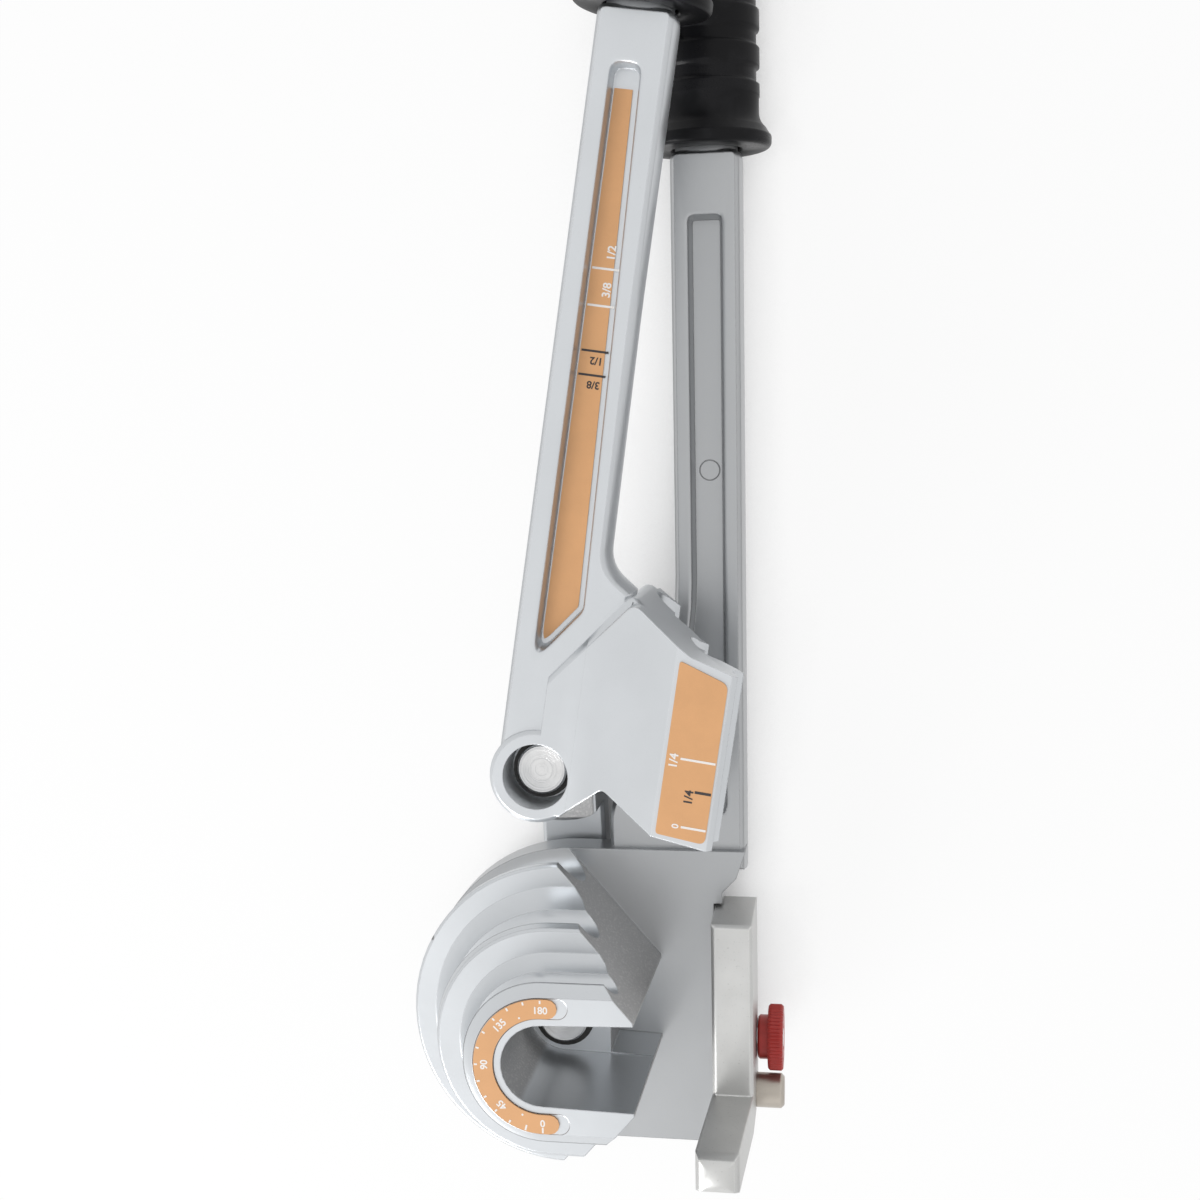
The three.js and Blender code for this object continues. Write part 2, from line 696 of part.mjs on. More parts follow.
// Shoe profile in u and z, the form's own steps turned round with a clearance
const shoeLip = (radius) => link.length - radius - shoe.clearance;
const shoeTopU = shoeLip(bend.quarter) - shoe.upperLipInset - shoe.topEdge;
const shoeFlatU = shoeTopU - shoe.flatWidth;
const makeShoe = () => {
  const groove = (radius, height, tube) => {
    const r = tube / 2 + shoe.groovePlay;
    const cx = link.length - radius;
    const start = Math.PI / 2 + Math.asin(shoe.clearance / r);
    const end = (3 * Math.PI) / 2 - Math.asin(shoe.clearance / r);
    return arcPoints(cx, plateTop + height, r, end, start, facets.groove);
  };
  const back = 0;
  const rail = plateTop - shoe.railDrop;
  const step = (height) => plateTop + height + shoe.headroom;
  const top = plateTop + shoe.top;
  const halfLip = shoeLip(bend.half);
  const midLip = shoeLip(bend.threeEighths);
  const outerLip = shoeLip(bend.quarter);
  const topLip = outerLip - shoe.upperLipInset;
  const coneOut = form.stepFillet + shoe.headroom;
  const quarterLip = plateTop + grooveAt.quarter + tubes.quarter / 2;
  const rise = (lip, low, grooveHeight, tube) => [
    point(lip - coneOut, low),
    point(lip - coneOut * shoe.riseShares.out,
      along(low, plateTop + grooveHeight - tube / 2, shoe.riseShares.up)),
  ];
  const profile = [
    point(back, leverBottom),
    point(postFront + seat, leverBottom),
    point(postFront + seat * 2, rail),
    point(halfLip - shoe.headroom, rail),
    ...groove(bend.half, grooveAt.half, tubes.half),
    point(halfLip, step(grooveAt.rimTop)),
    ...rise(midLip, step(grooveAt.rimTop), grooveAt.threeEighths, tubes.threeEighths),
    ...groove(bend.threeEighths, grooveAt.threeEighths, tubes.threeEighths),
    point(midLip, step(grooveAt.stepTop)),
    ...rise(outerLip, step(grooveAt.stepTop), grooveAt.quarter, tubes.quarter),
    ...groove(bend.quarter, grooveAt.quarter, tubes.quarter).slice(0, facets.groove - 1),
    point(topLip, along(quarterLip, top, shoe.topRiseShare)),
    point(topLip, top - shoe.topEdge),
    point(topLip - shoe.topEdge, top),
    point(shoeFlatU, top),
    point(shoe.slopeU, plateTop + lever.bossTop),
    point(back, plateTop + lever.bossTop),
  ];
  // The profile stands in u and z, and is drawn out along v
  const depth = shoe.tipV - shoe.footV + overrun * 2;
  const geometry = loft([
    { outline: profile.map((p) => point(p.y, p.x)).reverse(), z: 0 },
    { outline: profile.map((p) => point(p.y, p.x)).reverse(), z: depth },
  ]);
  const toV = new THREE.Matrix4().makeBasis(
    new THREE.Vector3(0, 0, 1), new THREE.Vector3(1, 0, 0), new THREE.Vector3(0, 1, 0));
  geometry.applyMatrix4(toV).translate(0, shoe.footV - overrun, 0);
  const ridge = point(lever.ridgeFromU, lever.ridgeFromV);
  const tip = point(shoe.tipU, shoe.tipV);
  const acrossRidge = tip.clone().sub(ridge).normalize().rotateAround(point(0, 0), -Math.PI / 2);
  const outline = (away) => outlineOf([
    ...shoe.bossShares.map(([u, v]) => ({ x: lever.bossRadius * u, y: lever.bossRadius * v })),
    { x: shoe.notchU, y: shoe.notchV, round: shoe.topEdge },
    { x: outerLip - shoe.heelWidth, y: shoe.heelV },
    { x: outerLip - shoe.topEdge, y: shoe.footV, round: shoe.wall },
    { x: outerLip + overrun, y: shoe.footV + shoe.topEdge },
    { x: outerLip + overrun, y: shoe.outerV, round: shoe.topEdge },
    { x: outerLip - shoe.bendWidth, y: shoe.bendV },
    { x: tip.x + acrossRidge.x * away, y: tip.y + acrossRidge.y * away, round: shoe.wall },
    { x: lever.ridgeFromU, y: ridge.y + acrossRidge.y * away },
    { x: lever.ridgeFromU, y: 0 },
  ]);
  // Along the ridge, the shoe's side slopes from the handle's top up to its own
  return toSolid(geometry).intersect(toSolid(loft([
    { outline: outline(0), z: plateTop - shoe.railDrop - overrun },
    { outline: outline(0), z: leverTopZ },
    { outline: outline(lever.ridgeWidth), z: plateTop + lever.bossTop },
    { outline: outline(lever.ridgeWidth), z: top + overrun },
  ])));
};

const leverTopZ = plateTop + lever.handleTop;
const makeLeverHandle = () => {
  const { handleLeftU, handleRightU, rootLeftU, rootRightU, handleEndV } = lever;
  const taperV = along(shoe.tipV, handleEndV, lever.handleTaperShare);
  const outline = outlineOf([
    { x: rootLeftU, y: 0 },
    { x: rootRightU, y: 0 },
    { x: shoe.tipU, y: along(lever.ridgeFromV, shoe.tipV, lever.webShare) },
    { x: shoe.tipU, y: shoe.tipV },
    { x: rootRightU, y: shoe.tipV + rootRightU / 2, round: rootRightU },
    { x: handleRightU, y: taperV, round: rootRightU },
    { x: handleRightU, y: handleEndV, round: handle.endRound },
    { x: handleLeftU, y: handleEndV, round: handle.endRound },
    { x: rootLeftU, y: shoe.tipV },
  ]);
  const low = leverTopZ - lever.handleThickness;
  const bar = castBar(outline, low, leverTopZ, lever.sideDraft, lever.crown);
  return bar.subtract(makeLeverPocket());
};

const pocketCorners = [
  { x: lever.pocketLeftU, y: lever.pocketEndV, round: lever.pocketRound },
  { x: lever.pocketLeftU, y: lever.pocketPointV, round: lever.pocketPointRound },
  { x: lever.pocketShoulderU, y: lever.pocketShoulderV, round: lever.pocketShoulderRound },
  { x: lever.pocketRightU, y: lever.pocketEndV, round: lever.pocketRound },
];
const pocketMouth = (distance) => outlineOf(
  inset(pocketCorners.map(({ x, y }) => point(x, y)), distance)
    .map(({ x, y }, i) => ({ x, y, round: Math.max(pocketCorners[i].round - distance, seat) })));
const pocketFloor = leverTopZ - lever.pocketDepth;
const makeLeverPocket = () => pocketCut(pocketMouth, pocketFloor, leverTopZ, lever);

// The lever is one casting too, with the shoe's grooves in a solid of their own past a seam
const leverSide = (fromU, toU) => prism([
  point(fromU, -link.length), point(toU, -link.length),
  point(toU, link.length), point(fromU, link.length),
], 0, plateTop + shoe.top + overrun);
const makeGroovedShoe = () =>
  makeShoe().intersect(leverSide(shoe.seamU + seat / 2, link.length));

const makeLever = () => {
  const bossTop = plateTop + lever.bossTop;
  const boss = slab(circle(lever.bossRadius, facets.form / 2), leverBottom, bossTop, lever.edge);
  const gripRoom = lever.handleEndV - handle.rim;
  const shankZ = leverTopZ - lever.handleThickness / 2;
  const counterbore = bossTop - lever.pinDepth - seat - pin.ringWidth;
  return boss
    .add(makeShoe().intersect(leverSide(-link.length, shoe.seamU - seat / 2)))
    .add(makeLeverHandle())
    .add(makeShank(lever.gripU, gripRoom, shankZ, shank))
    .subtract(pinBore(leverBottom - overrun, bossTop + overrun))
    .subtract(disc(lever.holeRadius, counterbore, bossTop + shoe.top, 0, 0));
};

// Hook: slide block with a dovetail tongue and an upright post
const makeHook = () => {
  const { width, restY, blockLength, blockBottom, blockTop, postThickness, postTop: postHigh } = hook;
  const left = plate.slotX + seat;
  const right = left + width;
  const top = plateTop + blockTop;
  const block = slab([
    point(left, restY - postThickness / 2), point(right, restY - postThickness / 2),
    point(right, restY + blockLength), point(left, restY + blockLength),
  ], blockBottom, top, hook.edge);
  const footing = (lean) => [
    point(left - lean, restY - postThickness), point(right - lean, restY - postThickness),
    point(right - lean, restY), point(left - lean, restY),
  ];
  const post = toSolid(loft([
    { outline: inset(footing(0), hook.edge), z: blockBottom },
    { outline: footing(0), z: blockBottom + hook.edge },
    { outline: footing(0), z: top },
    ...hook.crownShares.map(([inwards, down]) => ({
      outline: inset(footing(hook.postLean), hook.postRound * inwards),
      z: plateTop + postHigh - hook.postRound * down,
    })),
  ]));
  const bore = knobBore(left + hook.edge, right + overrun)
    .add(dogBore(left - hook.tongueDepth - overrun, right));
  return block.add(post)
    .add(dovetail(restY - postThickness + hook.edge, restY + blockLength - hook.edge, 0))
    .subtract(bore)
    .subtract(sidePinSolid(seat));
};

// Round pieces along +X, at the thumb screw's axis
const turned = (profile, startX, y, z, count) => {
  const geometry = new THREE.LatheGeometry(profile, count);
  geometry.rotateZ(-Math.PI / 2);
  geometry.translate(startX, y, z);
  return toSolid(geometry);
};
const screwRod = (radius, fromX, toX) => turned([
  point(0, 0), point(radius, 0), point(radius, toX - fromX), point(0, toX - fromX),
], fromX, knob.y, dovetailZ, facets.pin / 2);
const knobBore = (fromX, toX) => screwRod(knob.screwRadius + seat, fromX, toX);
const dogBore = (fromX, toX) => screwRod(knob.dogRadius + seat, fromX, toX);

const hookRight = plate.slotX + seat + hook.width;
const makeScrew = () => {
  const { screwRadius, dogRadius, dogEdge, hubLength, thickness } = knob;
  const tipX = plate.slotX - hook.tongueDepth;
  const shoulder = plate.slotX + seat * 2 + hook.edge - tipX;
  const length = hookRight + seat + hubLength + thickness - tipX;
  return turned([
    point(0, 0), point(dogRadius - dogEdge, 0), point(dogRadius, dogEdge), point(dogRadius, shoulder),
    point(screwRadius - dogEdge, shoulder), point(screwRadius, shoulder + dogEdge),
    point(screwRadius, length - dogEdge), point(screwRadius - dogEdge, length), point(0, length),
  ], tipX, knob.y, dovetailZ, facets.pin / 2);
};

const makeKnob = () => {
  const steps = knob.flutes * 4;
  const rim = Array.from({ length: steps }, (_, i) => {
    const angle = (2 * Math.PI * i) / steps;
    const radius = knob.radius - (i % 4 === 0 ? knob.fluteDepth : 0);
    return point(radius * Math.cos(angle), radius * Math.sin(angle));
  });
  const { thickness, hubRadius, hubLength, fluteDepth } = knob;
  const head = loft([
    { outline: inset(rim, fluteDepth), z: hubLength },
    { outline: rim, z: hubLength + fluteDepth },
    { outline: rim, z: hubLength + thickness - fluteDepth },
    { outline: inset(rim, fluteDepth), z: hubLength + thickness },
  ]);
  const hub = loft([
    { outline: circle(hubRadius, facets.knob), z: 0 },
    { outline: circle(hubRadius, facets.knob), z: hubLength + fluteDepth },
  ]);
  const startX = hookRight + seat;
  [head, hub].forEach((g) => g.applyMatrix4(turnToX).translate(startX, knob.y, dovetailZ));
  const bore = knobBore(startX - overrun, startX + hubLength + thickness + overrun);
  return toSolid(head).add(toSolid(hub)).subtract(bore);
};

const sidePinSolid = (grow) => {
  const y = hook.restY - hook.postThickness / 2 - sidePin.drop;
  const z = hook.blockBottom + sidePin.above;
  const startX = hookRight - sidePin.depth - grow;
  const length = sidePin.depth + sidePin.reach + grow;
  const radius = sidePin.radius + grow;
  return turned([
    point(0, 0), point(radius, 0), point(radius, length - sidePin.edge),
    point(radius - sidePin.edge, length), point(0, length),
  ], startX, y, z, facets.pin);
};

// Labels
const makeDialLabel = () => {
  const { dialOuter, dialInner, dialEndX, thickness } = label;
  const middle = along(dialInner, dialOuter, 0.5);
  const half = (dialOuter - dialInner) / 2;
  const turnCount = facets.form / 2;
  const outline = [
    ...arcPoints(0, 0, dialOuter, Math.PI / 2, (3 * Math.PI) / 2, turnCount),
    ...arcPoints(dialEndX, -middle, half, -Math.PI / 2, Math.PI / 2, facets.corner),
    ...arcPoints(0, 0, dialInner, (3 * Math.PI) / 2, Math.PI / 2, turnCount),
    ...arcPoints(dialEndX, middle, half, -Math.PI / 2, Math.PI / 2, facets.corner),
  ];
  const low = plateTop + grooveAt.top + skin;
  return prism(outline, low, low + thickness);
};

const makeHandleLabel = () => {
  const edge = pocketMouth(lever.lipRound + lever.wallDraft + label.gapToWall);
  const outline = edge.map((p) => point(p.x, Math.min(p.y, lever.pocketEndV - label.handleMargin)));
  const low = pocketFloor + skin;
  const film = prism(outline, low, low + label.thickness);
  return film.intersect(film.translate([-label.handleBareStrip, 0, 0]));
};

const makeShoeLabel = () => {
  const left = shoeFlatU + label.shoeBareStrip;
  const right = shoeTopU - label.shoeMargin / 2;
  const m = label.shoeMargin;
  const outline = outlineOf([
    { x: left, y: shoe.heelV + m, round: label.corner },
    { x: right, y: shoe.footV + shoe.topEdge + m / 2, round: label.corner * 2 },
    { x: right, y: shoe.outerV - m, round: label.corner * 2 },
    { x: left, y: shoe.bendV - m, round: label.corner },
  ]);
  const low = plateTop + shoe.top + skin;
  return prism(outline, low, low + label.thickness);
};

// Assembly
const tubeBender = new THREE.Group();
const linkGroup = new THREE.Group();
const leverGroup = new THREE.Group();
linkGroup.rotation.z = link.leanAngle;
leverGroup.position.set(0, link.length, 0);
leverGroup.rotation.z = -lever.tiltAngle;
linkGroup.add(leverGroup);
tubeBender.add(linkGroup);

const bodyGripZ = along(handleBottom, handleTop, 0.5);
const gripSocket = shank.length - handle.rim - grip.startGap + overrun + seat;
addPiece(tubeBender, 'body_casting', makeBody(), finishes.casting);
addPiece(tubeBender, 'body_form', makeForm(), finishes.casting);
addPiece(tubeBender, 'body_grip',
  makeGrip(handle.centreX, handle.endY + grip.startGap, bodyGripZ, gripSocket), finishes.rubber);
addPiece(tubeBender, 'centre_pin', makePin(centrePinTop), finishes.steel);
addPiece(tubeBender, 'centre_pin_ring',
  makeRing(centrePinTop, pin.radius + pin.ringReach), finishes.blackSteel);
addPiece(tubeBender, 'centre_washer', makeWasher(armTop + seat), finishes.steel);
addPiece(tubeBender, 'angle_scale_label', makeDialLabel(), finishes.orange);

addPiece(linkGroup, 'link_arm', makeLink(), finishes.casting);
addPiece(linkGroup, 'lever_pin', makePin(leverPinTop, 0, link.length), finishes.steel);
addPiece(linkGroup, 'lever_pin_ring',
  makeRing(leverPinTop, pin.radius + pin.leverRingReach, 0, link.length), finishes.blackSteel);
addPiece(linkGroup, 'lever_washer', makeWasher(postTop + seat, 0, link.length), finishes.steel);

const leverGripZ = leverTopZ - lever.handleThickness / 2;
addPiece(leverGroup, 'lever_casting', makeLever(), finishes.casting);
addPiece(leverGroup, 'lever_shoe', makeGroovedShoe(), finishes.casting);
addPiece(leverGroup, 'lever_grip',
  makeGrip(lever.gripU, lever.handleEndV + grip.startGap, leverGripZ, gripSocket), finishes.rubber);
addPiece(leverGroup, 'handle_scale_label', makeHandleLabel(), finishes.orange);
addPiece(leverGroup, 'shoe_scale_label', makeShoeLabel(), finishes.orange);

addPiece(tubeBender, 'hook', makeHook(), finishes.casting);
addPiece(tubeBender, 'hook_side_pin', sidePinSolid(0), finishes.steel);
addPiece(tubeBender, 'hook_knob', makeKnob(), finishes.red);
addPiece(tubeBender, 'hook_screw', makeScrew(), finishes.steel);

export default tubeBender;
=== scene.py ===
"""Hand lever tube bender: finishes, grips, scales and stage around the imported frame."""
import json
import math

import bmesh
import bpy
from bpy.props import FloatProperty, FloatVectorProperty, IntProperty, PointerProperty
from mathutils import Euler, Matrix, Vector
from mathutils.kdtree import KDTree


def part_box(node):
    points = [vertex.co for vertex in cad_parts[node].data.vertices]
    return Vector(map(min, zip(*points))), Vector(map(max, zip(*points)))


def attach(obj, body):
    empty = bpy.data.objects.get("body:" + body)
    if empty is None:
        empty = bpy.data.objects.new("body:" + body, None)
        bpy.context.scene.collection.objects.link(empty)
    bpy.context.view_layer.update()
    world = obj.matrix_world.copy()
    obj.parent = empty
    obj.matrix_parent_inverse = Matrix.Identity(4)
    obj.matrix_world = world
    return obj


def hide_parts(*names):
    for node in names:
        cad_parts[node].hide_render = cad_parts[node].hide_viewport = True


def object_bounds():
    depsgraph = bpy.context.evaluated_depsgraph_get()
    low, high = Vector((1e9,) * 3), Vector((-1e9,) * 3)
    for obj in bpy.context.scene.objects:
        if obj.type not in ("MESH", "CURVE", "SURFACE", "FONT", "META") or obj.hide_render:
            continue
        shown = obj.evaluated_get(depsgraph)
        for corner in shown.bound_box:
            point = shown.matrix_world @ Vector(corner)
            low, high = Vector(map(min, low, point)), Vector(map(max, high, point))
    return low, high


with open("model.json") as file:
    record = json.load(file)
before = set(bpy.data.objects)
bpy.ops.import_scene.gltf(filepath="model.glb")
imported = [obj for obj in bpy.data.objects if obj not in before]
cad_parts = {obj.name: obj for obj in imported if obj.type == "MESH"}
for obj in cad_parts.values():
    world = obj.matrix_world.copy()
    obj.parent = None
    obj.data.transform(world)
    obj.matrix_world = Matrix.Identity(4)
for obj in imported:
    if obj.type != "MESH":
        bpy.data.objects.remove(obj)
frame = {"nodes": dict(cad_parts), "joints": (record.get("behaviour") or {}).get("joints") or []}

bl_info = {
    "name": "Tube Bender",
    "version": (1, 0, 0),
    "blender": (4, 5, 0),
    "location": "View3D > Sidebar > Tube Bender",
    "description": "Dresses the packed tube bender with its finishes, grips and scales",
    "category": "Object",
}

CAD_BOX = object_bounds()
MM = 0.001
JOINTS = {joint["name"]: joint for joint in frame["joints"]}
LEVER_PIVOT = Vector(JOINTS["lever_swing"]["pos_m"])
KNOB_AXIS = Vector(JOINTS["knob_turn"]["pos_m"])
LEVER_LEAN = math.radians(8.9)  # of the lever's handle from the fixed one, at rest
LEVER_MOUTH = Vector((-0.5, 173.4)) * MM  # of its grip, in the lever's own u and v
WELD = 0.002 * MM
SEAM = 0.45 * MM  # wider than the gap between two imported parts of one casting
FORM_FOOT = 24 * MM  # height at which the form and the link's post rise
LEVER_BORE_RADIUS = 7.66 * MM  # of the boss, above the head of the lever pin
LEVER_BORE_FLOOR = 44.15 * MM
SIDE_GROOVE_REACH = math.radians(112)  # from the middle of a side groove to its end

# Spots on the castings, in millimetres of the frame
MOULD_PIN_MARK = (35.4, 132.9, 16.4)
FORM_NICK = (-33.4, 18.6, 38.2)
LEVER_NICK = (-3.6, 158.0, 53.8)

# Place, size and power of each softbox
LAMPS = {
    "Window light": ((-0.60, -0.75, 0.50), 0.6, 10.5),
    "Ceiling light": ((0.0, 0.1, 1.30), 1.4, 0.5),
}


# Sizes and colours that a user would change
class CastingSettings(bpy.types.PropertyGroup):
    colour: FloatVectorProperty(
        name="Casting colour", description="Satin silver of the castings",
        subtype="COLOR", size=3, min=0, max=1, default=(0.60, 0.62, 0.64))
    grain: FloatProperty(
        name="Grain", description="Width of the fine grain left by the mould",
        subtype="DISTANCE", unit="LENGTH", default=0.28 * MM)
    # The edge mask of this radius also carries the painted highlight along the castings' edges.
    edge: FloatProperty(
        name="Edge round", description="Radius of the castings' worn edges",
        subtype="DISTANCE", unit="LENGTH", default=0.45 * MM)
    crease: FloatProperty(
        name="Crease angle", description="Faces that meet at less than this are one round face",
        subtype="ANGLE", unit="ROTATION", default=math.radians(30.5))


class GripSettings(bpy.types.PropertyGroup):
    colour: FloatVectorProperty(
        name="Rubber colour", description="Black of the moulded grips",
        subtype="COLOR", size=3, min=0, max=1, default=(0.007, 0.007, 0.008))
    radius: FloatProperty(
        name="Barrel radius", description="Half the width of the grip",
        subtype="DISTANCE", unit="LENGTH", default=13 * MM)
    flange: FloatProperty(
        name="Flange radius", description="Half the width of the flange at the mouth",
        subtype="DISTANCE", unit="LENGTH", default=15.8 * MM)
    length: FloatProperty(
        name="Length", description="From the flange to the closed end",
        subtype="DISTANCE", unit="LENGTH", default=111.9 * MM)
    flatness: FloatProperty(
        name="Flatness", description="Height of the grip as a share of its width",
        subtype="FACTOR", min=0.5, max=1, default=0.87)
    grooves: IntProperty(
        name="Grooves", description="Number of finger grooves across the grip", default=9)
    groove_pitch: FloatProperty(
        name="Groove pitch", description="From one finger groove to the next",
        subtype="DISTANCE", unit="LENGTH", default=8.6 * MM)
    groove_first: FloatProperty(
        name="First groove", description="From the mouth to the groove that goes all round",
        subtype="DISTANCE", unit="LENGTH", default=16.9 * MM)
    groove_width: FloatProperty(
        name="Groove width", description="Width of a finger groove",
        subtype="DISTANCE", unit="LENGTH", default=3.5 * MM)
    groove_depth: FloatProperty(
        name="Groove depth", description="Depth of a finger groove",
        subtype="DISTANCE", unit="LENGTH", default=0.8 * MM)


class ScaleSettings(bpy.types.PropertyGroup):
    colour: FloatVectorProperty(
        name="Label colour", description="Orange of the printed scales",
        subtype="COLOR", size=3, min=0, max=1, default=(0.71, 0.375, 0.165))
    white: FloatVectorProperty(
        name="White ink", description="Ink of the light marks",
        subtype="COLOR", size=3, min=0, max=1, default=(0.90, 0.87, 0.84))
    black: FloatVectorProperty(
        name="Black ink", description="Ink of the dark marks",
        subtype="COLOR", size=3, min=0, max=1, default=(0.035, 0.03, 0.03))
    ink: FloatProperty(
        name="Ink height", description="How far the ink stands off the label",
        subtype="DISTANCE", unit="LENGTH", default=0.03 * MM)
    digit: FloatProperty(
        name="Digit height", description="Height of the sizes on the lever's scales",
        subtype="DISTANCE", unit="LENGTH", default=2.6 * MM)
    dial_step: FloatProperty(
        name="Dial step", description="Angle between two marks of the angle scale",
        subtype="ANGLE", unit="ROTATION", default=math.radians(15))
    dial_digit: FloatProperty(
        name="Dial digit height", description="Height of the angles on the angle scale",
        subtype="DISTANCE", unit="LENGTH", default=2.3 * MM)
    border: FloatProperty(
        name="Border", description="Width of the pale border round the shoe's scale",
        subtype="DISTANCE", unit="LENGTH", default=0.45 * MM)


class KnobSettings(bpy.types.PropertyGroup):
    colour: FloatVectorProperty(
        name="Knob colour", description="Red of the thumb knob",
        subtype="COLOR", size=3, min=0, max=1, default=(0.42, 0.020, 0.014))
    radius: FloatProperty(
        name="Knob radius", description="Over the knurl",
        subtype="DISTANCE", unit="LENGTH", default=8.2 * MM)
    teeth: IntProperty(name="Knurl teeth", description="Ridges round the knob", default=52)
    tooth: FloatProperty(
        name="Tooth height", description="Depth of the knurl",
        subtype="DISTANCE", unit="LENGTH", default=0.35 * MM)


class StageSettings(bpy.types.PropertyGroup):
    floor: FloatVectorProperty(
        name="Floor colour", description="Pale floor under the tool",
        subtype="COLOR", size=3, min=0, max=1, default=(0.86, 0.86, 0.86))
    sky: FloatProperty(
        name="Sky", description="Strength of the even light from all sides", default=0.66)
    lens: FloatProperty(
        name="Lens", description="Focal length of the camera",
        subtype="DISTANCE_CAMERA", unit="CAMERA", default=44.59)
    camera_at: FloatVectorProperty(
        name="Camera place", description="Where the photograph was taken from",
        subtype="TRANSLATION", unit="LENGTH", size=3,
        default=(66.16 * MM, 143.71 * MM, 385.06 * MM))
    camera_turn: FloatVectorProperty(
        name="Camera turn", description="Turn of the camera from looking straight down",
        subtype="EULER", unit="ROTATION", size=3,
        default=(math.radians(-6.767), math.radians(8.950), math.radians(-1.135)))


# Expressions on sockets
class Field:
    """A socket of a node tree, on which Python's operators add Math nodes."""

    def __init__(self, nodes, socket):
        self.nodes = nodes
        self.socket = socket

    def __add__(self, other):
        return self.nodes.math("ADD", self, other)

    def __sub__(self, other):
        return self.nodes.math("SUBTRACT", self, other)

    def __rsub__(self, other):
        return self.nodes.math("SUBTRACT", other, self)

    def __mul__(self, other):
        return self.nodes.math("MULTIPLY", self, other)

    def __truediv__(self, other):
        return self.nodes.math("DIVIDE", self, other)

    __radd__ = __add__
    __rmul__ = __mul__


class Nodes:
    """A node tree, with one method that adds any node."""

    def __init__(self, tree):
        self.tree = tree

    def add(self, kind, settings=None, sockets=None):
        node = self.tree.nodes.new(kind)
        for key, value in (settings or {}).items():
            setattr(node, key, value)
        for key, value in (sockets or {}).items():
            self.feed(node.inputs[key], value)
        return node

    def feed(self, socket, value):
        if isinstance(value, Field):
            self.tree.links.new(value.socket, socket)
        else:
            socket.default_value = value

    def out(self, node, key=0):
        return Field(self, node.outputs[key])

    def math(self, operation, *values):
        node = self.add("ShaderNodeMath", {"operation": operation}, dict(enumerate(values)))
        return self.out(node)

    def vector_math(self, operation, *values, out=0):
        node = self.add("ShaderNodeVectorMath", {"operation": operation}, dict(enumerate(values)))
        return self.out(node, out)

    def smooth(self, value, low, high):
        """0 below low, 1 above high, with a soft step between."""
        node = self.add(
            "ShaderNodeMapRange", {"interpolation_type": "SMOOTHSTEP"},
            {"Value": value, "From Min": low, "From Max": high})
        return self.out(node)

    def parts(self, vector):
        node = self.add("ShaderNodeSeparateXYZ", None, {0: vector})
        return [self.out(node, axis) for axis in range(3)]


class Finish(Nodes):
    """A material round one Principled shader, which reads Object coordinates."""

    def __init__(self, name, **constants):
        self.material = bpy.data.materials.new(name)
        self.material.use_nodes = True
        super().__init__(self.material.node_tree)
        self.shader = self.tree.nodes["Principled BSDF"]
        self.place = self.out(self.add("ShaderNodeTexCoord"), "Object")
        self.set(**constants)

    def set(self, **sockets):
        for name, value in sockets.items():
            self.feed(self.shader.inputs[name.replace("_", " ")], value)

    def noise(self, width, detail=2.0, stretch=(1, 1, 1), seed=0.0):
        """Noise with lumps of a width in metres, from 0 to 1 round one half."""
        place = self.add(
            "ShaderNodeMapping", None,
            {"Vector": self.place, "Location": (seed, seed, seed), "Scale": stretch})
        node = self.add(
            "ShaderNodeTexNoise", None,
            {"Vector": self.out(place), "Scale": 1 / width, "Detail": detail, "Roughness": 0.55})
        return self.out(node)

    def away(self, spot):
        """The distance from a spot given in millimetres."""
        spot = tuple(part * MM for part in spot)
        return self.vector_math("DISTANCE", self.place, spot, out="Value")

    def mix(self, factor, low, high):
        node = self.add(
            "ShaderNodeMix", {"data_type": "RGBA"},
            {0: factor, 6: opaque(low), 7: opaque(high)})
        return self.out(node, 2)

    def soft_edges(self, radius):
        """The normal with rounded edges, and a mask of those edges."""
        rounded = self.out(self.add("ShaderNodeBevel", {"samples": 4}, {"Radius": radius}))
        plain = self.out(self.add("ShaderNodeNewGeometry"), "Normal")
        likeness = self.vector_math("DOT_PRODUCT", rounded, plain, out="Value")
        return rounded, self.smooth(1 - likeness, 0.01, 0.16)

    def bump(self, layers, normal=None):
        """Stacks bumps, each a height from 0 to 1 and its depth in metres."""
        for height, depth in layers:
            sockets = {"Height": height, "Distance": depth, "Strength": 1.0}
            if normal is not None:
                sockets["Normal"] = normal
            normal = self.out(self.add("ShaderNodeBump", None, sockets))
        self.set(Normal=normal)


def opaque(colour):
    return colour if isinstance(colour, Field) else (*tuple(colour)[:3], 1.0)


def tint(colour, share):
    return tuple(min(1.0, part * share) for part in tuple(colour)[:3])


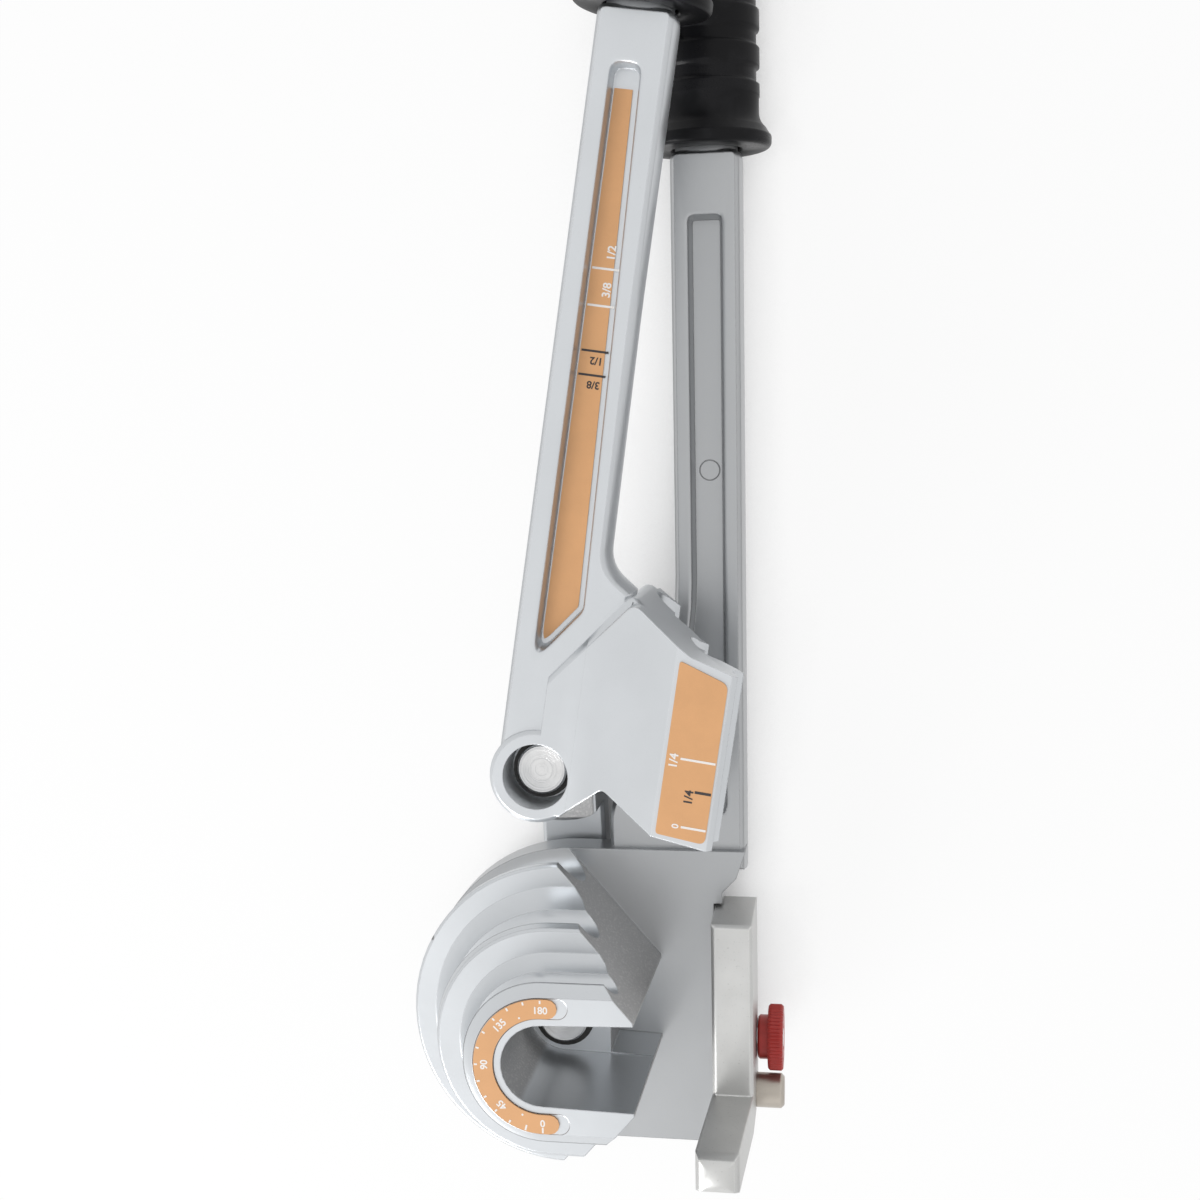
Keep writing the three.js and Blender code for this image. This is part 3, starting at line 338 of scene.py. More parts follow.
# Finishes
def cast_finish(name, settings, worn=1.25, cut=None, shape=None):
    """Satin casting: fine grain, faint flow marks, and edges made brighter by worn, as wear and a
    painted highlight, or darker, as a painted shade line.
    """
    finish = Finish(name, Metallic=0.85)
    grain = finish.noise(settings.grain, 3)
    lumps = finish.noise(2.6 * MM, 2, seed=3.1)
    cloud = finish.noise(26 * MM, 3, seed=7.7)
    rounded, edges = finish.soft_edges(settings.edge)
    base = finish.mix(cloud, tint(settings.colour, 0.93), tint(settings.colour, 1.06))
    base = finish.mix(finish.smooth(grain, 0.60, 0.80) * 0.35, base, tint(settings.colour, 0.70))
    # Painted highlight along the edges; a worn share below 1 paints a darker shade line there
    # instead.
    base = finish.mix(edges * 0.6, base, tint(settings.colour, worn))
    rough = 0.24 + cloud * 0.10 + grain * 0.08 - edges * 0.08
    layers = [(grain, 0.006 * MM), (lumps, 0.018 * MM)]
    if cut is not None:
        mask = cut(finish)
        coarse = finish.noise(0.6 * MM, 3, seed=1.9)
        # On the body this dark grey is painted shade on faces turned away from the light; on the
        # link it darkens the rough top.
        base = finish.mix(mask * 0.6, base, (0.37, 0.355, 0.345))
        base = finish.mix(mask * finish.smooth(coarse, 0.52, 0.66) * 0.5, base, (0.72, 0.71, 0.70))
        rough = rough + mask * 0.12
        layers.append((coarse * mask, 0.16 * MM))
    if shape is not None:
        # The shape's dark mask holds real nicks and rings, and on the body also painted shade on
        # its low faces.
        dark, forms = shape(finish)
        base = finish.mix(dark, base, (0.20, 0.195, 0.19))
        layers += forms
    finish.set(Base_Color=base, Roughness=rough)
    finish.bump(layers, rounded)
    return finish.material


def cut_faces(finish):
    """Faces above the form's foot that look towards +X, such as its slanted cut ends: rough as
    cut, and darkened as painted shade.
    """
    normal = finish.out(finish.tree.nodes["Texture Coordinate"], "Normal")
    x, _, _ = finish.parts(normal)
    _, _, height = finish.parts(finish.place)
    above = finish.smooth(height, FORM_FOOT - 0.4 * MM, FORM_FOOT - 0.1 * MM)
    return finish.smooth(x, 0.45, 0.6) * above


def rough_top(finish):
    """The top of the link's post, left as it came out of the mould."""
    _, _, height = finish.parts(finish.place)
    return finish.smooth(height, FORM_FOOT, FORM_FOOT + 0.5 * MM)


def body_marks(finish):
    """The seat of the angle scale, a mould pin's ring, a nick, and painted shade on the low faces.
    """
    x, y, z = finish.parts(finish.place)
    top, middle, half, end = 68.3 * MM, 13.65 * MM, 2.42 * MM, 3.8 * MM
    edge, seat_depth, ring_depth, nick_depth = 0.1 * MM, 0.22 * MM, 0.12 * MM, 0.3 * MM
    behind = finish.math("MINIMUM", x, 0.0)
    off = finish.math("SQRT", behind * behind + y * y) - middle
    past = finish.math("MAXIMUM", x - end, 0.0)
    off = finish.math("SQRT", off * off + past * past)
    seat = 1 - finish.smooth(off, half - edge, half + edge)
    seat = seat * finish.smooth(z, top - 0.3 * MM, top - 0.2 * MM)
    away = finish.away(MOULD_PIN_MARK)
    ring = finish.smooth(away, 2.3 * MM, 2.45 * MM)
    ring = ring * (1 - finish.smooth(away, 2.5 * MM, 2.65 * MM))
    nick = 1 - finish.smooth(finish.away(FORM_NICK), 0.4 * MM, 0.9 * MM)
    # Painted shade: every face below the form's foot, such as the plate, the neck and the handle,
    # is darkened.
    low = 1 - finish.smooth(z, FORM_FOOT - 0.5 * MM, FORM_FOOT + 0.5 * MM)
    dark = finish.math("MAXIMUM", nick * 0.9, low * 0.42 + ring * 0.2)
    return dark, [(seat, -seat_depth), (ring, -ring_depth), (nick, -nick_depth)]


def lever_marks(finish):
    """The wide hollow where the boss runs up into the sloping top, and a nick."""
    x, y, z = finish.parts(finish.vector_math("SUBTRACT", finish.place, tuple(LEVER_PIVOT)))
    across = x * math.cos(LEVER_LEAN) - y * math.sin(LEVER_LEAN)
    start, reach, lean = 8 * MM, 4.5 * MM, math.tan(math.radians(15.5))
    near = finish.math("MAXIMUM", reach - finish.math("ABSOLUTE", across - start), 0.0)
    hollow = near * near * (lean / (2 * reach)) * finish.smooth(z, 14.2 * MM, 15.2 * MM)
    nick = 1 - finish.smooth(finish.away(LEVER_NICK), 0.3 * MM, 0.7 * MM)
    return nick * 0.8, [(hollow, 1.0)]


def turned_finish(name, centre, axis="Z"):
    """Bright steel with the fine rings of a lathe round a point."""
    finish = Finish(name, Metallic=1.0)
    moved = finish.vector_math("SUBTRACT", finish.place, tuple(centre))
    across = {"Z": (1, 1, 0), "X": (0, 1, 1)}[axis]
    flat = finish.vector_math("MULTIPLY", moved, across)
    radius = finish.vector_math("LENGTH", flat, out="Value")
    rings = finish.out(finish.add(
        "ShaderNodeTexNoise", {"noise_dimensions": "1D"},
        {"W": radius / (0.2 * MM), "Scale": 1.0, "Detail": 2.0}))
    stain = finish.noise(3 * MM, 3)
    rounded, edges = finish.soft_edges(0.25 * MM)
    base = finish.mix(stain, (0.62, 0.62, 0.62), (0.80, 0.80, 0.80))
    base = finish.mix(edges * 0.6, base, (0.85, 0.85, 0.86))
    finish.set(Base_Color=base, Roughness=0.16 + stain * 0.08 + rings * 0.06)
    finish.bump([(rings, 0.07 * MM)], rounded)
    return finish.material


def hook_finish(name, colour, roughness):
    """Tumbled steel with fine pits and rubbed edges."""
    finish = Finish(name, Metallic=0.85)
    pits = finish.noise(0.5 * MM, 4, seed=5.3)
    cloud = finish.noise(9 * MM, 3, seed=2.2)
    brush = finish.noise(0.35 * MM, 2, (1, 0.06, 1))
    rounded, edges = finish.soft_edges(0.7 * MM)
    base = finish.mix(cloud, tint(colour, 0.88), tint(colour, 1.08))
    base = finish.mix(finish.smooth(pits, 0.62, 0.75) * 0.6, base, tint(colour, 0.55))
    base = finish.mix(edges * 0.8, base, tint(colour, 1.5))
    finish.set(Base_Color=base, Roughness=roughness + cloud * 0.10 - edges * 0.06)
    finish.bump([(brush, 0.006 * MM), (pits, 0.014 * MM)], rounded)
    return finish.material


def black_steel_finish(name):
    """Blackened steel with a faint scale."""
    finish = Finish(name, Metallic=0.7)
    scale = finish.noise(0.6 * MM, 3)
    base = finish.mix(scale, (0.02, 0.02, 0.02), (0.07, 0.068, 0.065))
    finish.set(Base_Color=base, Roughness=0.38 + scale * 0.2)
    finish.bump([(scale, 0.01 * MM)], finish.soft_edges(0.15 * MM)[0])
    return finish.material


def rubber_finish(name, settings):
    """Moulded rubber: a fine mould grain, with rubbed patches that shine."""
    finish = Finish(name, Specular_IOR_Level=0.14)
    grain = finish.noise(0.22 * MM, 2)
    rubbed = finish.smooth(finish.noise(11 * MM, 3, seed=4.4), 0.45, 0.62)
    dust = finish.smooth(finish.noise(0.5 * MM, 4, seed=9.1), 0.66, 0.78)
    base = finish.mix(rubbed, settings.colour, tint(settings.colour, 1.7))
    base = finish.mix(dust * 0.25, base, (0.10, 0.095, 0.09))
    finish.set(Base_Color=base, Roughness=0.34 - rubbed * 0.10 + grain * 0.08)
    finish.bump([(grain, 0.010 * MM), (finish.noise(5 * MM, 1), 0.05 * MM)])
    return finish.material


def label_finish(name, settings):
    """Printed film: even ink with a faint screen and a satin varnish."""
    finish = Finish(name, Coat_Weight=0.25, Coat_Roughness=0.25)
    screen = finish.noise(0.18 * MM, 1)
    cloud = finish.noise(7 * MM, 3, seed=6.0)
    base = finish.mix(cloud, tint(settings.colour, 0.90), tint(settings.colour, 1.08))
    base = finish.mix(finish.smooth(screen, 0.55, 0.75) * 0.25, base, tint(settings.colour, 1.25))
    finish.set(Base_Color=base, Roughness=0.42 + cloud * 0.12)
    finish.bump([(screen, 0.003 * MM)])
    return finish.material


def ink_finish(name, colour):
    """Printed ink, a little worn."""
    finish = Finish(name)
    worn = finish.noise(0.3 * MM, 3, seed=8.0)
    base = finish.mix(worn, tint(colour, 0.86), tint(colour, 1.05))
    finish.set(Base_Color=base, Roughness=0.45 + worn * 0.15)
    return finish.material


def knob_finish(name, settings):
    """Red lacquer over metal, thin on the crests of the knurl."""
    finish = Finish(name, Metallic=0.25, Coat_Weight=0.3, Coat_Roughness=0.3)
    cloud = finish.noise(1.8 * MM, 3)
    rounded, edges = finish.soft_edges(0.2 * MM)
    base = finish.mix(cloud, tint(settings.colour, 0.8), tint(settings.colour, 1.15))
    base = finish.mix(edges * 0.35, base, tint(settings.colour, 1.9))
    finish.set(Base_Color=base, Roughness=0.32 + cloud * 0.16)
    finish.bump([(cloud, 0.02 * MM)], rounded)
    return finish.material


# Pieces
def new_piece(name, mesh):
    piece = bpy.data.objects.new(name, mesh)
    bpy.context.scene.collection.objects.link(piece)
    return piece


def bake(piece):
    """Turns the piece with its modifiers into a plain mesh."""
    graph = bpy.context.evaluated_depsgraph_get()
    mesh = bpy.data.meshes.new_from_object(
        piece.evaluated_get(graph), preserve_all_data_layers=True, depsgraph=graph)
    piece.modifiers.clear()
    piece.data = mesh
    return piece


def seat(piece, body, slot, material, replaces=()):
    """Gives a finished piece its material and its place in the frame."""
    piece.data.materials.clear()
    piece.data.materials.append(material)
    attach(piece, body)
    if replaces:
        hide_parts(*replaces)
    return piece


def shell(name, node):
    """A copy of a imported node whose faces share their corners."""
    mesh = frame["nodes"][node].data.copy()
    mesh.name = name
    shape = bmesh.new()
    shape.from_mesh(mesh)
    bmesh.ops.remove_doubles(shape, verts=shape.verts, dist=WELD)
    bmesh.ops.dissolve_degenerate(shape, edges=shape.edges, dist=WELD * 5)
    shape.to_mesh(mesh)
    shape.free()
    return new_piece(name, mesh)


def join(piece, other):
    """Adds another part of the same casting, with the seam between them closed."""
    corners = KDTree(len(piece.data.vertices))
    for corner in piece.data.vertices:
        corners.insert(corner.co, corner.index)
    corners.balance()
    for corner in other.data.vertices:
        place, _, distance = corners.find(corner.co)
        if distance < SEAM:
            corner.co = place
    combine(piece, other, "UNION")


def combine(piece, other, operation):
    """Joins or cuts a piece with another, which is used up."""
    change = piece.modifiers.new(operation, "BOOLEAN")
    change.operation = operation
    change.solver = "MANIFOLD"
    change.object = other
    bake(piece)
    bpy.data.objects.remove(other)


def cut_round(piece, place, radius, top):
    """Recuts a faceted bore as a smooth round one, from a place up to a height."""
    shape = bmesh.new()
    bmesh.ops.create_cone(
        shape, cap_ends=True, segments=96, radius1=radius, radius2=radius, depth=top - place.z,
        matrix=Matrix.Translation((place.x, place.y, (place.z + top) / 2)))
    mesh = bpy.data.meshes.new("cutter")
    shape.to_mesh(mesh)
    shape.free()
    combine(piece, new_piece("cutter", mesh), "DIFFERENCE")


def smooth_copy(name, nodes, crease, bore=None):
    """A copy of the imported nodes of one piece, with flat faces flat and round faces smooth."""
    piece = shell(name, nodes[0])
    for node in nodes[1:]:
        join(piece, shell("part", node))
    if bore is not None:
        cut_round(piece, *bore)
    shape = bmesh.new()
    shape.from_mesh(piece.data)
    bmesh.ops.remove_doubles(shape, verts=shape.verts, dist=WELD)
    bmesh.ops.dissolve_limit(
        shape, angle_limit=math.radians(0.4), verts=shape.verts, edges=shape.edges)
    for face in shape.faces:
        face.smooth = True
    for line in shape.edges:
        line.smooth = not (line.is_manifold and line.calc_face_angle(0) > crease)
    shape.to_mesh(piece.data)
    shape.free()
    weighted = piece.modifiers.new("Flat faces", "WEIGHTED_NORMAL")
    weighted.keep_sharp = True
    return bake(piece)


def dress(name, nodes, body, slot, material, bore=None):
    """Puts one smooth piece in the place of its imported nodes."""
    crease = bpy.context.scene.bender_casting.crease
    seat(smooth_copy(name, nodes, crease, bore), body, slot, material, nodes)


def dress_label(node, material):
    """Gives a packed label, which keeps its shape, a better finish."""
    target = frame["nodes"][node]
    target.data.materials.clear()
    target.data.materials.append(material)


def lathe(name, profile, segments, flatness=1.0):
    """A revolved mesh about +Y through points of radius and length, closed at the axis."""
    shape = bmesh.new()
    rings = []
    for radius, reach in profile:
        if radius == 0:
            rings.append([shape.verts.new((0, reach, 0))] * segments)
            continue
        turn = [2 * math.pi * i / segments for i in range(segments)]
        rings.append([
            shape.verts.new((radius * math.sin(a), reach, radius * math.cos(a) * flatness))
            for a in turn])
    for low, high in zip(rings, rings[1:]):
        for i in range(segments):
            corners = [low[i], low[i - 1], high[i - 1], high[i]]
            shape.faces.new(list(dict.fromkeys(corners)))
    bmesh.ops.recalc_face_normals(shape, faces=shape.faces)
    for face in shape.faces:
        face.smooth = True
    mesh = bpy.data.meshes.new(name)
    shape.to_mesh(mesh)
    shape.free()
    return new_piece(name, mesh)


def along(start, end, steps):
    """Values from start to end, without start."""
    return [start + (end - start) * i / steps for i in range(1, steps + 1)]


def arc(centre, radius, start, end, steps):
    """Points of radius and length on an arc, with angles in degrees from outwards to along."""
    points = []
    for angle in [start, *along(start, end, steps)]:
        turn = math.radians(angle)
        points.append((centre[0] + radius * math.cos(turn), centre[1] + radius * math.sin(turn)))
    return points


# Geometry Nodes
class Shaping(Nodes):
    """A Geometry Nodes tree with named inputs, which ends in real faces with a material."""

    def __init__(self, name, sizes):
        super().__init__(bpy.data.node_groups.new(name, "GeometryNodeTree"))
        face = self.tree.interface
        face.new_socket("Geometry", in_out="INPUT", socket_type="NodeSocketGeometry")
        face.new_socket("Geometry", in_out="OUTPUT", socket_type="NodeSocketGeometry")
        for size, kind in sizes.items():
            face.new_socket(size, in_out="INPUT", socket_type=kind)
        face.new_socket("Material", in_out="INPUT", socket_type="NodeSocketMaterial")
        self.entry = self.add("NodeGroupInput")

    def input(self, name):
        return self.out(self.entry, name)

    def end(self, geometry):
        real = self.add("GeometryNodeRealizeInstances", None, {0: geometry})
        dressed = self.add(
            "GeometryNodeSetMaterial", None,
            {"Geometry": self.out(real), "Material": self.input("Material")})
        leave = self.add("NodeGroupOutput")
        self.feed(leave.inputs[0], self.out(dressed))

    def use(self, piece, **values):
        """Runs the tree on a piece, with its inputs set by their identifiers."""
        modifier = piece.modifiers.new(self.tree.name, "NODES")
        modifier.node_group = self.tree
        named = {item.name: item.identifier for item in self.tree.interface.items_tree
                 if item.in_out == "INPUT"}
        for name, value in values.items():
            modifier[named[name.replace("_", " ")]] = value
        return bake(piece)


def groove_tree():
    """Finger grooves across a grip: the first goes all round, the others round one side."""
    tree = Shaping("Finger grooves", {
        "Depth": "NodeSocketFloat", "Width": "NodeSocketFloat", "Pitch": "NodeSocketFloat",
        "First": "NodeSocketFloat", "Count": "NodeSocketInt", "Reach": "NodeSocketFloat",
        "Radius": "NodeSocketFloat", "Side": "NodeSocketFloat",
    })
    place = tree.out(tree.add("GeometryNodeInputPosition"))
    normal = tree.out(tree.add("GeometryNodeInputNormal"))
    x, y, z = tree.parts(place)
    steps = tree.math("ROUND", (y - tree.input("First")) / tree.input("Pitch"))
    steps = tree.math("MAXIMUM", tree.math("MINIMUM", steps, tree.input("Count") - 1), 0.0)
    off = y - tree.input("First") - steps * tree.input("Pitch")
    turn = tree.math("ABSOLUTE", tree.math("ARCTAN2", z, x * tree.input("Side")))
    past = tree.math("MAXIMUM", turn - tree.input("Reach"), 0.0) * tree.input("Radius")
    past = past * tree.math("GREATER_THAN", steps, 0.5)
    distance = tree.math("SQRT", off * off + past * past)
    half = tree.input("Width") / 2
    soft = 0.3 * MM
    mask = 1 - tree.smooth(distance, half - soft, half + soft)
    sink = tree.vector_math("SCALE", normal)
    tree.feed(sink.socket.node.inputs["Scale"], mask * tree.input("Depth") * -1)
    moved = tree.add(
        "GeometryNodeSetPosition", None, {"Geometry": tree.input("Geometry"), "Offset": sink})
    tree.end(tree.out(moved))
    return tree


def knurl_tree():
    """Straight ridges round a knob, as a wave on the faces at its rim."""
    tree = Shaping("Knurl", {
        "Teeth": "NodeSocketInt", "Tooth": "NodeSocketFloat", "Radius": "NodeSocketFloat",
    })
    x, _, z = tree.parts(tree.out(tree.add("GeometryNodeInputPosition")))
    wave = tree.math("COSINE", tree.math("ARCTAN2", z, x) * tree.input("Teeth"))
    reach = tree.math("SQRT", x * x + z * z)
    rim = tree.smooth(reach / tree.input("Radius"), 0.93, 0.97)
    drop = (1 - wave) * 0.5 * tree.input("Tooth") * rim * -1
    outward = tree.add("ShaderNodeCombineXYZ", None, {"X": x / reach, "Z": z / reach})
    sink = tree.vector_math("SCALE", tree.out(outward))
    tree.feed(sink.socket.node.inputs["Scale"], drop)
    moved = tree.add(
        "GeometryNodeSetPosition", None, {"Geometry": tree.input("Geometry"), "Offset": sink})
    tree.end(tree.out(moved))
    return tree


def tick_tree():
    """Marks on an arc, one each step, with the last ones longer."""
    tree = Shaping("Dial marks", {
        "Count": "NodeSocketInt", "Step": "NodeSocketFloat", "Start": "NodeSocketFloat",
        "Radius": "NodeSocketFloat", "Length": "NodeSocketFloat", "Width": "NodeSocketFloat",
        "Height": "NodeSocketFloat", "Long": "NodeSocketFloat", "Long From": "NodeSocketInt",
    })
    index = tree.out(tree.add("GeometryNodeInputIndex"))
    angle = tree.input("Start") + index * tree.input("Step")
    longer = tree.math("GREATER_THAN", index, tree.input("Long From") - 0.5)
    length = tree.input("Length") + longer * (tree.input("Long") - tree.input("Length"))
    reach = tree.input("Radius") - length / 2
    spot = tree.add("ShaderNodeCombineXYZ", None, {
        "X": tree.math("COSINE", angle) * reach, "Y": tree.math("SINE", angle) * reach})
    dots = tree.add(
        "GeometryNodePoints", None, {"Count": tree.input("Count"), "Position": tree.out(spot)})
    size = tree.add("ShaderNodeCombineXYZ", None, {
        "X": 1.0, "Y": tree.input("Width"), "Z": tree.input("Height")})
    bar = tree.add("GeometryNodeMeshCube", None, {"Size": tree.out(size)})
    turn = tree.add("ShaderNodeCombineXYZ", None, {"Z": angle})
    scale = tree.add("ShaderNodeCombineXYZ", None, {"X": length, "Y": 1.0, "Z": 1.0})
    placed = tree.add("GeometryNodeInstanceOnPoints", None, {
        "Points": tree.out(dots), "Instance": tree.out(bar),
        "Rotation": tree.out(turn), "Scale": tree.out(scale)})
    tree.end(tree.out(placed))
    return tree


# Ink on the labels
def lever_place(z):
    """From the lever's own u and v, in metres, to the frame."""
    pivot = Vector((LEVER_PIVOT.x, LEVER_PIVOT.y, z))
    return Matrix.Translation(pivot) @ Matrix.Rotation(-LEVER_LEAN, 4, "Z")


class Print:
    """Ink marks in one colour, gathered into one mesh on a label's face."""

    def __init__(self, name, place, height):
        self.name = name
        self.place = place
        self.height = height
        self.shape = bmesh.new()

    def outline(self, points):
        """A flat mark with upright sides, from points in millimetres."""
        low = [self.shape.verts.new((x * MM, y * MM, -self.height)) for x, y in points]
        high = [self.shape.verts.new((x * MM, y * MM, self.height)) for x, y in points]
        self.shape.faces.new(high)
        self.shape.faces.new(low[::-1])
        for i, _ in enumerate(points):
            self.shape.faces.new((low[i - 1], low[i], high[i], high[i - 1]))

    def bar(self, x0, y0, x1, y1):
        self.outline([(x0, y0), (x1, y0), (x1, y1), (x0, y1)])

    def dot(self, x, y, radius):
        turns = [2 * math.pi * i / 12 for i in range(12)]
        self.outline([(x + radius * math.cos(a), y + radius * math.sin(a)) for a in turns])

    def number(self, text, size, x, y, turn):
        """A number centred on a place, with its reading direction turned in degrees."""
        boldness = 0.025
        curve = bpy.data.curves.new(text, "FONT")
        curve.body = text
        curve.size = size
        curve.align_x = "CENTER"
        curve.align_y = "CENTER"
        curve.extrude = self.height
        curve.offset = size * boldness
        letters = new_piece("digits", curve)
        graph = bpy.context.evaluated_depsgraph_get()
        mesh = bpy.data.meshes.new_from_object(letters.evaluated_get(graph))
        spin = Matrix.Rotation(math.radians(turn), 4, "Z")
        mesh.transform(Matrix.Translation((x * MM, y * MM, 0)) @ spin)
        self.shape.from_mesh(mesh)
        bpy.data.objects.remove(letters)
        bpy.data.meshes.remove(mesh)

    def rim(self, node, width):
        """A band along the edge of a packed label."""
        band = bmesh.new()
        band.from_mesh(frame["nodes"][node].data)
        bmesh.ops.remove_doubles(band, verts=band.verts, dist=WELD)
        lower = [face for face in band.faces if face.normal.z < 0.9]
        bmesh.ops.delete(band, geom=lower, context="FACES")
        made = bmesh.ops.inset_region(
            band, faces=band.faces[:], thickness=width, use_even_offset=True)["faces"]
        inner = [face for face in band.faces if face not in made]
        bmesh.ops.delete(band, geom=inner, context="FACES")
        bmesh.ops.translate(band, verts=band.verts, vec=(0, 0, -self.height))
        raised = bmesh.ops.extrude_face_region(band, geom=band.faces[:])["geom"]
        corners = [item for item in raised if isinstance(item, bmesh.types.BMVert)]
        bmesh.ops.translate(band, verts=corners, vec=(0, 0, 2 * self.height))
        bmesh.ops.recalc_face_normals(band, faces=band.faces)
        mesh = bpy.data.meshes.new("band")
        band.to_mesh(mesh)
        band.free()
        mesh.transform(self.place.inverted())
        self.shape.from_mesh(mesh)
        bpy.data.meshes.remove(mesh)

    def add(self, piece):
        self.shape.from_mesh(piece.data)
        bpy.data.objects.remove(piece)

    def finish(self, body, slot, material):
        self.shape.transform(self.place)
        mesh = bpy.data.meshes.new(self.name)
        self.shape.to_mesh(mesh)
        self.shape.free()
        return seat(new_piece(self.name, mesh), body, slot, material)


# Operators
class BENDER_OT_body(bpy.types.Operator):
    """Dress the body casting with its form, plate, neck and handle"""

    bl_idname = "bender.body"
    bl_label = "Body Casting"

    def execute(self, context):
        settings = context.scene.bender_casting
        # The share 0.55 paints the body's edges darker, a painted shade line along its outline.
        finish = cast_finish("Body casting", settings, 0.55, cut_faces, body_marks)
        dress("body_casting_skin", ["body_casting", "body_form"], "body", "cast_metal", finish)
        return {"FINISHED"}


class BENDER_OT_link(bpy.types.Operator):
    """Dress the link that carries the lever round the form"""

    bl_idname = "bender.link"
    bl_label = "Link"

    def execute(self, context):
        finish = cast_finish("Link casting", context.scene.bender_casting, cut=rough_top)
        dress("link_skin", ["link_arm"], "link", "cast_metal", finish)
        return {"FINISHED"}


class BENDER_OT_lever(bpy.types.Operator):
    """Dress the lever casting with its boss, shoe and handle"""

    bl_idname = "bender.lever"
    bl_label = "Lever Casting"

    def execute(self, context):
        finish = cast_finish("Lever casting", context.scene.bender_casting, shape=lever_marks)
        nodes = ["lever_casting", "lever_shoe"]
        floor = Vector((LEVER_PIVOT.x, LEVER_PIVOT.y, LEVER_BORE_FLOOR))
        bore = (floor, LEVER_BORE_RADIUS, CAD_BOX[1].z + 1 * MM)
        dress("lever_casting_skin", nodes, "lever", "cast_metal", finish, bore)
        return {"FINISHED"}


class BENDER_OT_pins(bpy.types.Operator):
    """Dress the two pivot pins with their rings and washers"""

    bl_idname = "bender.pins"
    bl_label = "Pins"

    def execute(self, context):
        ring = black_steel_finish("Black ring steel")
        places = {
            "centre_pin": ("body", (0, 0, 0)),
            "lever_pin": ("link", (LEVER_PIVOT.x, LEVER_PIVOT.y, 0)),
        }
        for pin, (body, centre) in places.items():
            steel = turned_finish(f"{pin} steel", centre)
            washer = pin.replace("pin", "washer")
            for node, slot, finish in (
                (pin, "turned_steel", steel),
                (washer, "turned_steel", steel),
                (f"{pin}_ring", "black_steel", ring),
            ):
                dress(f"{node}_turned", [node], body, slot, finish)
        return {"FINISHED"}


class BENDER_OT_grips(bpy.types.Operator):
    """Make the two moulded rubber grips"""

    bl_idname = "bender.grips"
    bl_label = "Grips"

    def execute(self, context):
        settings = context.scene.bender_grip
        rubber = rubber_finish("Black rubber", settings)
        tree = groove_tree()
        low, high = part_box("body_grip")
        body_place = Matrix.Translation(((low.x + high.x) / 2, low.y, (low.z + high.z) / 2))
        lever_low, lever_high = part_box("lever_grip")
        lever_middle = (lever_low.z + lever_high.z) / 2
        lever_grip = lever_place(lever_middle) @ Matrix.Translation((*LEVER_MOUTH, 0))
        for node, body, place, side in (
            ("body_grip", "body", body_place, 1.0),
            ("lever_grip", "lever", lever_grip, -1.0),
        ):
            grip = self.barrel(f"{node}_rubber", settings)
            tree.use(
                grip, Depth=settings.groove_depth, Width=settings.groove_width,
                Pitch=settings.groove_pitch, First=settings.groove_first, Count=settings.grooves,
                Reach=SIDE_GROOVE_REACH, Radius=settings.radius, Side=side, Material=rubber)
            grip.data.transform(place)
            seat(grip, body, "black_rubber", rubber, [node])
        return {"FINISHED"}

    def barrel(self, name, settings):
        """The grip without its grooves: mouth, flange, cone, barrel and rounded end."""
        mouth, flange, barrel = 8.4 * MM, settings.flange, settings.radius
        lip, shoulder, round_end = 1.4 * MM, 0.9 * MM, 6 * MM
        collar, edge = barrel - 0.2 * MM, 12 * MM
        profile = [(0, 3 * MM), (mouth, 3 * MM), (mouth, 0.5 * MM), (mouth + 0.5 * MM, 0)]
        profile += arc((flange - lip, lip), lip, -90, 0, 6)
        profile += arc((flange - shoulder, 2.5 * MM), shoulder, 0, 58, 5)
        profile += arc((barrel + 4.6 * MM, 8.4 * MM), 4.8 * MM, 230, 180, 7)
        profile += [(collar, edge - 0.1 * MM), (barrel, edge + 0.1 * MM)]
        fine = int((settings.length - round_end - edge) / (0.4 * MM))
        profile += [(barrel, y) for y in along(edge + 0.1 * MM, settings.length - round_end, fine)]
        profile += arc((barrel - round_end, settings.length - round_end), round_end, 0, 90, 10)
        profile.append((0, settings.length))
        return lathe(name, profile, 112, settings.flatness)


class BENDER_OT_hook(bpy.types.Operator):
    """Dress the sliding hook with its steel pin"""

    bl_idname = "bender.hook"
    bl_label = "Hook"

    def execute(self, context):
        steel = hook_finish("Hook steel", (0.58, 0.58, 0.57), 0.36)
        dress("hook_block", ["hook"], "hook", "hook_metal", steel)
        steel = hook_finish("Hook pin steel", (0.46, 0.42, 0.37), 0.28)
        dress("hook_side_pin_turned", ["hook_side_pin"], "hook", "hook_metal", steel)
        return {"FINISHED"}


